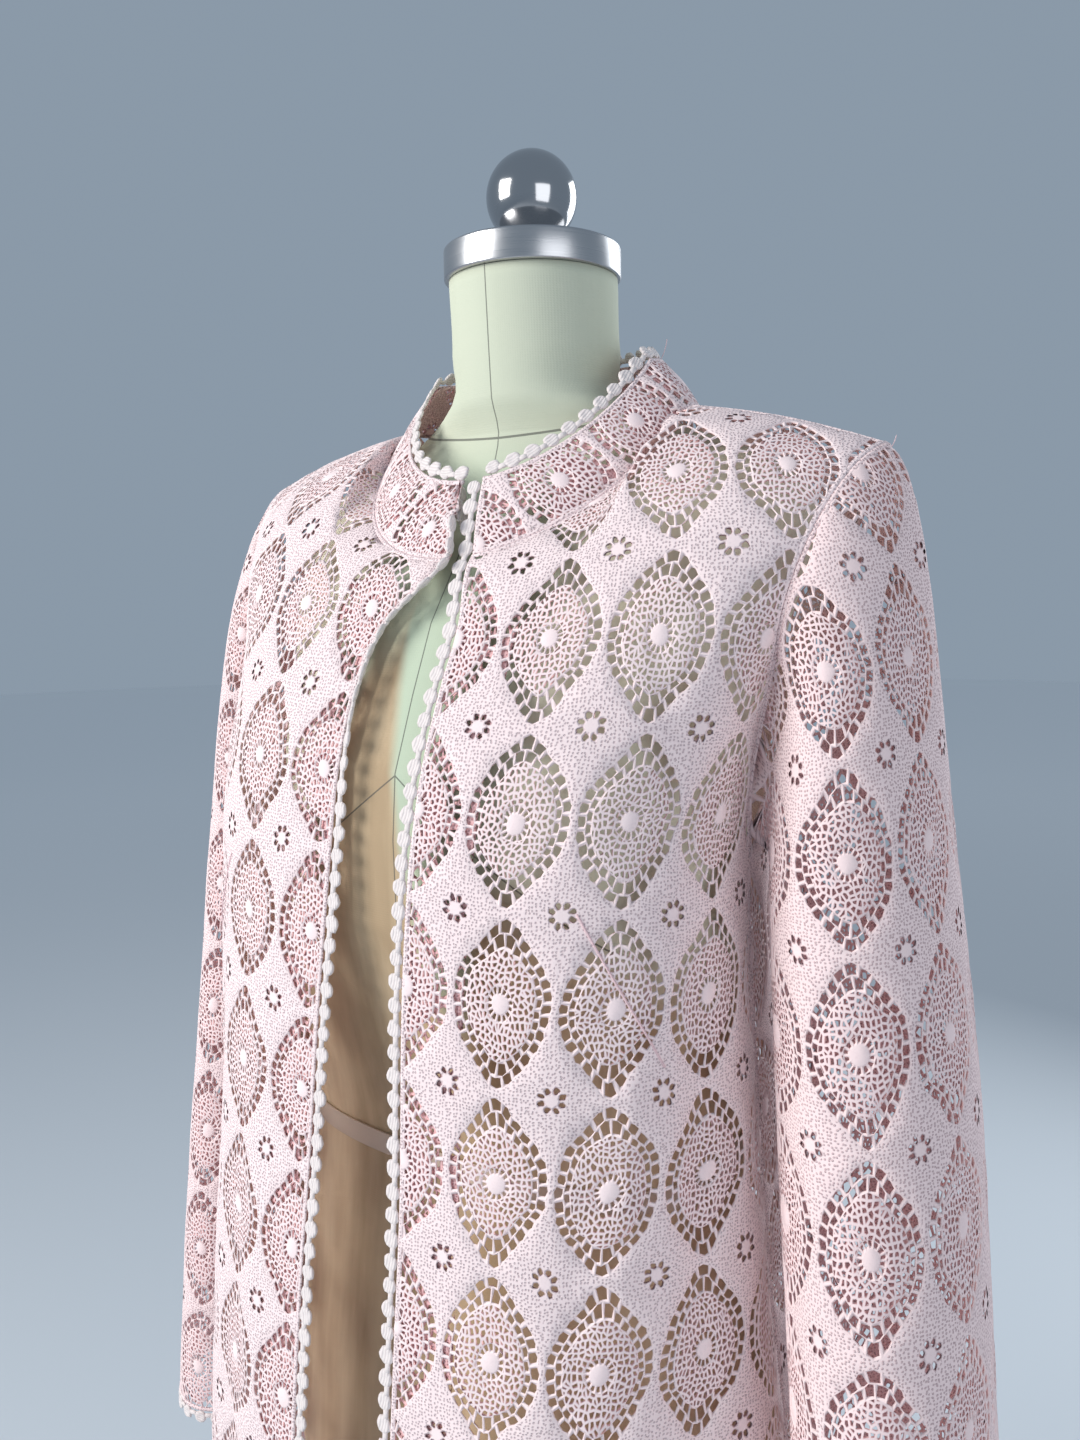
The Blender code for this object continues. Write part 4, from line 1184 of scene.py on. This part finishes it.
# round discs with a dimple, joined by short links
def edgingMesh(frames, closed, seed):
    rng = np.random.default_rng(seed)
    points, faces, texture = [], [], []
    sides, profile = edging["sides"], edging["profile"]
    for centre, out, up, forward in frames:
        base = len(points)
        scale = 1 + rng.normal(0, edging["sizeStray"])
        wobble = rng.normal(0, edging["rimStray"], sides)
        tilt = up + out * rng.normal(0, edging["tiltStray"]) + forward * rng.normal(0, edging["tiltStray"])
        tilt /= np.linalg.norm(tilt)
        for radius, height in profile:
            for k in range(sides):
                t = 2 * math.pi * k / sides
                reach = radius * scale * (1 + wobble[k] * radius)
                p = centre + out * math.cos(t) * reach * edging["half"]
                p = p + forward * math.sin(t) * reach * edging["halfAlong"] + tilt * height * edging["thick"]
                points.append(p)
                texture.append((math.cos(t) * radius, math.sin(t) * radius))
        faces += tubeFaces(len(profile), sides, base)
    pairs = list(zip(frames, frames[1:]))
    if closed:
        pairs.append((frames[-1], frames[0]))
    sides = edging["linkSides"]
    for (c1, o1, u1, f1), (c2, o2, u2, f2) in pairs:
        base = len(points)
        start = (c1 + f1 * edging["link"], o1, u1)
        middle = ((c1 + c2) / 2, (o1 + o2) / 2, (u1 + u2) / 2)
        end = (c2 - f2 * edging["link"], o2, u2)
        for c, o, u in (start, middle, end):
            c = c - o * edging["linkIn"]
            for k in range(sides):
                t = 2 * math.pi * k / sides
                wide = o * math.cos(t) * edging["linkWide"]
                points.append(c + wide + u * math.sin(t) * edging["linkThick"])
                texture.append((0.5, 0.5))
        faces += tubeFaces(3, sides, base)
    return np.array(points), faces, np.array(texture), [0] * len(faces)


print("edging")
trim = Material("edgingYarn", Roughness=0.9, Specular_IOR_Level=0.15, Sheen_Weight=0.3)
tu, tv, _ = trim.uv.xyz()
grain = (tu * 16 + tv * 3).math("SINE") * 0.5 + 0.5
trimFuzz = trim.noise(1200.0, 2.0, 0.6)
trim.feed("Base Color", (grain * 0.35 + trimFuzz * 0.4).mix(*tones["trim"]))
trim.bump(grain * 0.6 + trimFuzz * 0.5, 0.7, 0.0005)


# points, outward way and normals of one border of a sheet
def edgeOf(name, where):
    sheet = sheets[name]
    upright = where in ("first", "last")
    p, n = (part.swapaxes(0, 1) if upright else part for part in (sheet.points, sheet.normals))
    if where in ("first", "bottom"):
        return p[0], p[0] - p[1], n[0]
    return p[-1], p[-1] - p[-2], n[-1]


def addEdging(name, lines, curl, nodes, closed, seed):
    line, outward, normals = (np.concatenate([part[k] for part in lines]) for k in range(3))
    frames = edgeFrames(line, outward, normals, curl, closed)
    thing = newMesh(name, [edgingMesh(frames, closed, seed)], (trim,))
    placed(thing, "edging", *nodes)
    print(name, len(frames), "discs")


# the right edge rolls outward towards the neck: heights, degrees, and degrees at the collar
rollHeights = (1.19, 1.25, 1.30)
rollTurns = (0, 50, 60)
collarTurn = 80
# up each front edge and on up the collar's end
for label, seed, ends in (("Left", 21, "last"), ("Right", 22, "first")):
    panel = edgeOf("front" + label, "first")
    end = tuple(part[1:] for part in edgeOf("collar", ends))
    curl = np.zeros(len(panel[0]) + len(end[0]))
    if label == "Right":
        curl[:len(panel[0])] = np.interp(panel[0][:, 2], rollHeights, np.radians(rollTurns))
        curl[len(panel[0]):] = math.radians(collarTurn)
    addEdging("edging" + label, (panel, end), curl, ("edging_" + label.lower(),), False, seed)
topLine = edgeOf("collar", "top")
addEdging("edgingCollar", (topLine,), np.zeros(len(topLine[0])), ("edging_collar",), False, 23)
for label, seed in (("Left", 24), ("Right", 25)):
    cuff = tuple(part[:-1] for part in edgeOf("sleeve" + label, "bottom"))
    curl = np.zeros(len(cuff[0]))
    addEdging("edgingCuff" + label, (cuff,), curl, ("edging_cuff_" + label.lower(),), True, seed)


# slanting darts of the fronts, and loose yarn ends

print("darts and yarn ends")


def yarnCurve(name, points, radius, sides=8):
    verts = []
    for k in range(len(points)):
        forward = points[min(k + 1, len(points) - 1)] - points[max(k - 1, 0)]
        forward /= np.linalg.norm(forward)
        across = np.cross(forward, (0.3, 0.2, 0.9))
        across /= np.linalg.norm(across)
        other = np.cross(forward, across)
        for s in range(sides):
            t = 2 * math.pi * s / sides
            verts.append(points[k] + (across * math.cos(t) + other * math.sin(t)) * radius)
    faces = tubeFaces(len(points), sides)
    made = (np.array(verts), faces, np.zeros((len(verts), 2)), [0] * len(faces))
    thing = newMesh(name, [made], (seamCotton,))
    placed(thing, "lace")


# flat places of both ends, height over the cloth and radius
dart = {"high": (0.086, 0.478), "low": (0.132, 0.405), "lift": 0.0005, "radius": 0.0006, "points": 40}
steps = np.linspace(0, 1, dart["points"])[:, None]
line = np.array(dart["high"]) * (1 - steps) + np.array(dart["low"]) * steps
for label in ("Left", "Right"):
    sheet = sheets["front" + label]
    r, c, _ = sheet.locate(line)
    yarnCurve("dart" + label, sheet.at(r, c, np.full(len(r), dart["lift"]))[0], dart["radius"])

endRadius = 0.00022
endPoints = 9
endBend = 0.35
# sheet, row and column, lean along z, length
yarnEnds = {
    "endShoulder": ("sleeveLeft", 87.6, 45.0, 0.6, 0.005),
    "endSleeve": ("sleeveLeft", 66.0, 28.0, 0.5, 0.005),
    "endCollar": ("collar", 7.9, 130.0, 0.9, 0.006),
    "endFront": ("frontLeft", 60.0, 0.4, 0.2, 0.005),
}
for name, (sheetName, row, place, lean, length) in yarnEnds.items():
    root, normal = sheets[sheetName].at(np.array([row]), np.array([place]), np.zeros(1))
    t = np.linspace(0, 1, endPoints)[:, None]
    way = normal[0] + np.array((0.2, 0.0, lean))
    bend = np.cross(way, (0.3, 0.9, 0.1)) * endBend
    yarnCurve(name, root[0] + way * t * length + bend * t**2 * length, endRadius, 6)


# dress form

# height, half width, front, back, squareness
formRows = (
    (0.765, 0.154, 0.124, 0.090, 2.3),
    (0.800, 0.159, 0.126, 0.093, 2.3),
    (0.860, 0.154, 0.122, 0.086, 2.3),
    (0.930, 0.142, 0.113, 0.071, 2.5),
    (1.010, 0.132, 0.105, 0.056, 2.8),
    (1.080, 0.131, 0.119, 0.058, 2.6),
    (1.140, 0.133, 0.131, 0.068, 2.4),
    (1.185, 0.134, 0.132, 0.075, 2.3),
    (1.218, 0.137, 0.129, 0.078, 2.3),
    (1.255, 0.145, 0.114, 0.076, 2.2),
    (1.290, 0.154, 0.098, 0.071, 2.1),
    (1.325, 0.165, 0.073, 0.064, 2.0),
    (1.353, 0.163, 0.052, 0.058, 1.8),
    (1.372, 0.138, 0.041, 0.055, 1.6),
    (1.390, 0.0915, 0.036, 0.055, 1.5),
    (1.407, 0.053, 0.042, 0.051, 2.0),
    (1.435, 0.048, 0.044, 0.050, 2.0),
    (1.474, 0.0475, 0.0465, 0.048, 2.0),
)


def formRing(z, moved=0.0, sides=128):
    table = np.array(formRows)
    heights = table[:, 0]
    straight = [np.interp(z, heights, table[:, k]) for k in range(1, 4)]
    width, front, back, squared = (smoothValue(heights, table[:, k], z) for k in range(1, 5))
    width, front, back = (min(pair) + moved for pair in zip(straight, (width, front, back)))
    angle = 2 * np.pi * np.arange(sides) / sides
    power = 2 / squared
    x = width * np.sign(np.sin(angle)) * np.abs(np.sin(angle)) ** power
    y = (back - front) / 2 - (back + front) / 2 * np.sign(np.cos(angle)) * np.abs(np.cos(angle)) ** power
    return np.stack([x, y, np.full(sides, z)], axis=1)


def ringedMesh(rings, closed=False):
    count = len(rings[0])
    verts = np.concatenate(rings)
    faces = gridFaces(len(rings), count, True, True) if closed else tubeFaces(len(rings), count)
    return verts, faces, np.zeros((len(verts), 2)), [0] * len(faces)


print("dress form")
cover = Material("formCover", Roughness=0.85, Specular_IOR_Level=0.2)
x, y, z = cover.object.xyz()
weaveA = (x * 5200).math("SINE") * 0.5 + 0.5
weaveB = (z * 5200).math("SINE") * 0.5 + 0.5
streakPlace = joinXyz(x * 60, y * 60, z * 5)
streaks = streakPlace.node("ShaderNodeTexNoise", Vector=streakPlace, Scale=1.0, Detail=4.0, Roughness=0.55)
# seams: down the middle, under the bust falling to the sides, round the neck rising to the back
formSeams = {
    "middleHalf": 0.00035, "bustZ": 1.217, "bustFall": 0.75, "bustReach": 0.115, "bustHalf": 0.0005,
    "neckZ": 1.3975, "neckRise": 0.30, "neckHalf": 0.0006, "tone": (0.10, 0.10, 0.09, 1),
}
front = y < 0.0
side = abs(x)
underBust = formSeams["bustZ"] - side * formSeams["bustFall"]
# the lower tone reaches higher on one side of the middle, as in the photo
# where x is below zero the lower tone rises above the bust seam as painted shadow of the jacket's front;
# where x is above zero it sinks below the seam and the lit upper tone runs on
paintedShadowRise = (x * 6).math("MAXIMUM", -0.09).math("MINIMUM", 0.09) * (1 - side.smooth(0.030, 0.055))
# the lower tone is partly the cover's own tan and partly painted shade under the bust, warmed by light off
# the pink lace
low = 1 - (z - underBust + paintedShadowRise).smooth(-0.035, 0.015)
neckTone = streaks.mix((0.62, 0.65, 0.52, 1), (0.57, 0.60, 0.47, 1))
# where the cloth hangs over it the cover is painted lighter: painted light that offsets the lace's shadow on
# it
paintedLightUnderCloth = side.smooth(0.045, 0.075)
bodyTone = paintedLightUnderCloth.mix((0.52, 0.60, 0.46, 1), (0.92, 0.95, 0.76, 1))
upper = z.smooth(1.350, 1.395).mix(bodyTone, neckTone)
lowTone = streaks.smooth(0.3, 0.7)
lower = paintedLightUnderCloth.mix(
    lowTone.mix((0.60, 0.46, 0.30, 1), (0.44, 0.32, 0.20, 1)),
    lowTone.mix((0.82, 0.66, 0.46, 1), (0.66, 0.50, 0.33, 1)),
)
cloth = low.mix(upper, lower)
seamMiddle = (side < formSeams["middleHalf"]) * front
seamBust = (abs(z - underBust) < formSeams["bustHalf"]) * front * (side < formSeams["bustReach"])
seamNeck = abs(z - (formSeams["neckZ"] + y * formSeams["neckRise"])) < formSeams["neckHalf"]
seamLine = seamMiddle.math("MAXIMUM", seamBust).math("MAXIMUM", seamNeck)
cover.feed("Base Color", (seamLine * 0.75).mix(cloth, formSeams["tone"]))
cover.bump(weaveA * weaveB * 0.4 - seamLine * 0.8 + streaks * 0.5, 0.35, 0.0004)

rowHeights = [row[0] for row in formRows]
evenRows = 110
heights = np.unique(np.concatenate([rowHeights, np.linspace(rowHeights[0], rowHeights[-1], evenRows)]))
# rise and inset of the two lowest rings, and the inset of the others
lowRings = ((0.0, -0.012), (0.0006, -0.004))
coverInset = -0.0006
formRings = [formRing(heights[0] + rise, moved) for rise, moved in lowRings]
formRings += [formRing(h, coverInset) for h in heights[1:]]
formCover = newMesh("formCover", [ringedMesh(formRings)], (cover,))
placed(formCover, "form", "dress_form")

tapeCotton = Material("tapeCotton", Roughness=0.85, Specular_IOR_Level=0.2)
rib = (tapeCotton.object.xyz()[2] * 9000).math("SINE") * 0.5 + 0.5
tapeCotton.feed("Base Color", (rib * 0.4).mix(*tones["tape"]))
tapeCotton.bump(rib, 0.4, 0.0003)
# height off the middle, and how far out
tapeSteps = (
    (-0.006, 0.0002), (-0.006, 0.0011), (-0.0055, 0.0013),
    (0.0055, 0.0013), (0.006, 0.0011), (0.006, 0.0002),
)
tapeZ = 1.006
tapeRings = [formRing(tapeZ + rise, moved) for rise, moved in tapeSteps]
tape = newMesh("waistTape", [ringedMesh(tapeRings, True)], (tapeCotton,))
placed(tape, "tape", "waist_tape")


# metal parts

print("metal parts")


sharpAngle = math.radians(35)
bevelSteps = 3


def finished(name, material, slot, node, bevel=0.0):
    thing = bpy.context.object
    thing.name = name
    thing.data.name = name
    if bevel:
        soften = thing.modifiers.new("soften", "BEVEL")
        soften.width = bevel
        soften.segments = bevelSteps
        soften.angle_limit = sharpAngle
        bpy.ops.object.modifier_apply(modifier="soften")
    bpy.ops.object.transform_apply(location=True, rotation=True, scale=True)
    thing.data.materials.clear()
    thing.data.materials.append(material.data)
    thing.data.shade_smooth()
    thing.data.set_sharp_from_angle(angle=sharpAngle)
    placed(thing, slot, node)


def roundBar(radius, low, high, sides):
    middle = (0, 0, (low + high) / 2)
    bpy.ops.object.select_all(action="DESELECT")
    bpy.ops.mesh.primitive_cylinder_add(vertices=sides, radius=radius, depth=high - low, location=middle)


brushed = Material("brushedSteel", Metallic=1.0, Base_Color=(0.50, 0.50, 0.51, 1))
bx, by, bz = brushed.object.xyz()
brushPlace = joinXyz(bx * 20, by * 20, bz * 2600)
brush = brushPlace.node("ShaderNodeTexNoise", Vector=brushPlace, Scale=1.0, Detail=3.0)
brushed.feed("Roughness", 0.22 + brush * 0.16)
brushed.bump(brush, 0.12, 0.0002)
# the polished steel is coloured darker than the brushed steel: painted shade that dims the pale floor in its
# reflection
polished = Material("polishedSteel", Metallic=1.0, Base_Color=(0.46, 0.46, 0.47, 1))
scuff = polished.noise(60.0, 4.0)
polished.feed("Roughness", 0.10 + scuff * 0.05)
paint = Material("basePaint", Metallic=0.3, Roughness=0.5, Base_Color=(0.085, 0.085, 0.09, 1))
grit = paint.noise(700.0, 3.0)
paint.bump(grit, 0.25, 0.0003)

cap = {"radius": 0.049, "low": 1.4743, "high": 1.4905}
roundBar(cap["radius"], cap["low"], cap["high"], 160)
finished("neckCap", brushed, "steel", "neck_cap", 0.0011)

ball = {
    "radius": 0.025, "centre": (0, 0, 1.5185),
    "footLow": 0.0156, "footHigh": 0.0128, "low": 1.4908, "high": 1.4975,
}
bpy.ops.object.select_all(action="DESELECT")
bpy.ops.mesh.primitive_cone_add(
    vertices=96, radius1=ball["footLow"], radius2=ball["footHigh"], depth=ball["high"] - ball["low"],
    location=(0, 0, (ball["low"] + ball["high"]) / 2),
)
foot = bpy.context.object
bpy.ops.mesh.primitive_uv_sphere_add(
    segments=96, ring_count=48, radius=ball["radius"], location=ball["centre"],
)
foot.select_set(True)
bpy.ops.object.join()
finished("ballFinial", polished, "polished", "finial")

pole = {"radius": 0.016, "low": 0.0263, "high": 0.7647}
roundBar(pole["radius"], pole["low"], pole["high"], 64)
finished("standPole", brushed, "steel", "pole")

# flat rim, then rising in two slopes to the pole's socket: height of each step and its share of the size
base = {"radius": 0.165, "rim": 0.0102, "steps": ((0.0078, 0.60), (0.0076, 0.313), (0.0004, 0.95))}
roundBar(base["radius"], 0.0, base["rim"], 128)
bpy.ops.object.mode_set(mode="EDIT")
bpy.ops.mesh.select_mode(type="FACE")
bpy.ops.mesh.select_all(action="DESELECT")
bpy.ops.object.mode_set(mode="OBJECT")
top = max(bpy.context.object.data.polygons, key=lambda face: face.center.z)
top.select = True
bpy.ops.object.mode_set(mode="EDIT")
for rise, share in base["steps"]:
    bpy.ops.mesh.extrude_region_move(TRANSFORM_OT_translate={"value": (0, 0, rise)})
    bpy.ops.transform.resize(value=(share, share, 1), center_override=(0, 0, 0))
bpy.ops.object.mode_set(mode="OBJECT")
finished("standBase", paint, "base", "stand_base", 0.0009)
# floor, light and camera

print("floor, light and camera")
ground = {"radius": 14, "z": -0.0005, "near": (0.60, 0.64, 0.68, 1), "far": (0.95, 0.955, 0.96, 1)}
floorPaint = Material("paleFloor", Roughness=0.8, Specular_IOR_Level=0.2)
fx, fy, _ = floorPaint.object.xyz()
# the floor's colour runs from darker near the stand to paler far off: painted shade that dims the lamps'
# pool of light round the stand, and painted light that makes the far floor as bright as the world's backdrop
far = (fx * fx + fy * fy).math("SQRT").smooth(0.5, 7.0)
floorPaint.feed("Base Color", far.mix(ground["near"], ground["far"]))
bpy.ops.mesh.primitive_circle_add(
    vertices=96, radius=ground["radius"], fill_type="NGON", location=(0, 0, ground["z"]),
)
floor = bpy.context.object
floor.name = "floor"
floor.data.materials.append(floorPaint.data)
floor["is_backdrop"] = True

world = bpy.data.worlds.new("studio")
bpy.context.scene.world = world
world.use_nodes = True
backdrop = world.node_tree.nodes["Background"]
backdrop.inputs["Color"].default_value = (0.43, 0.535, 0.655, 1)
backdrop.inputs["Strength"].default_value = 0.60

# place, size, power and colour
lights = {
    "keyWindow": ((-1.5, -1.9, 2.1), (1.3, 1.5), 72, (1.0, 0.985, 0.96)),
    "fillWall": ((2.2, -1.2, 1.4), (1.6, 1.8), 16, (0.97, 0.98, 1.0)),
    "backWall": ((0.6, 2.2, 1.8), (1.4, 1.6), 26, (0.95, 0.98, 1.0)),
}
aim = Vector((0.0, 0.0, 1.1))
for name, (place, size, power, colour) in lights.items():
    light = bpy.data.lights.new(name, "AREA")
    light.shape = "RECTANGLE"
    light.size, light.size_y = size
    light.energy = power
    light.color = colour
    lamp = bpy.data.objects.new(name, light)
    bpy.context.scene.collection.objects.link(lamp)
    lamp.location = place
    lamp.rotation_euler = (aim - Vector(place)).to_track_quat("-Z", "Y").to_euler()
    lamp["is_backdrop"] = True

# turned in degrees, and its place
view = {"lens": 27.2, "yaw": 32.89, "pitch": 7.41, "roll": -0.68, "place": (0.3433, -0.5286, 1.3115)}
camera = bpy.data.cameras.new("camera")
camera.lens = view["lens"]
camera.sensor_width = 36
camera.sensor_fit = "AUTO"
camera.clip_start = 0.02
eye = bpy.data.objects.new("camera", camera)
bpy.context.scene.collection.objects.link(eye)
yaw, pitch, roll = (math.radians(view[key]) for key in ("yaw", "pitch", "roll"))
ahead = Vector((-math.sin(yaw) * math.cos(pitch), math.cos(yaw) * math.cos(pitch), -math.sin(pitch)))
right = Vector((math.cos(yaw), math.sin(yaw), 0))
above = right.cross(ahead)
turnedRight = right * math.cos(roll) + above * math.sin(roll)
turnedUp = above * math.cos(roll) - right * math.sin(roll)
eye.matrix_world = Matrix((
    (turnedRight.x, turnedUp.x, -ahead.x, view["place"][0]),
    (turnedRight.y, turnedUp.y, -ahead.y, view["place"][1]),
    (turnedRight.z, turnedUp.z, -ahead.z, view["place"][2]),
    (0, 0, 0, 1),
))
bpy.context.scene.camera = eye
bpy.context.scene.view_settings.view_transform = "Standard"

low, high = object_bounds()
print("visual box", [round(v, 4) for v in low], [round(v, 4) for v in high])
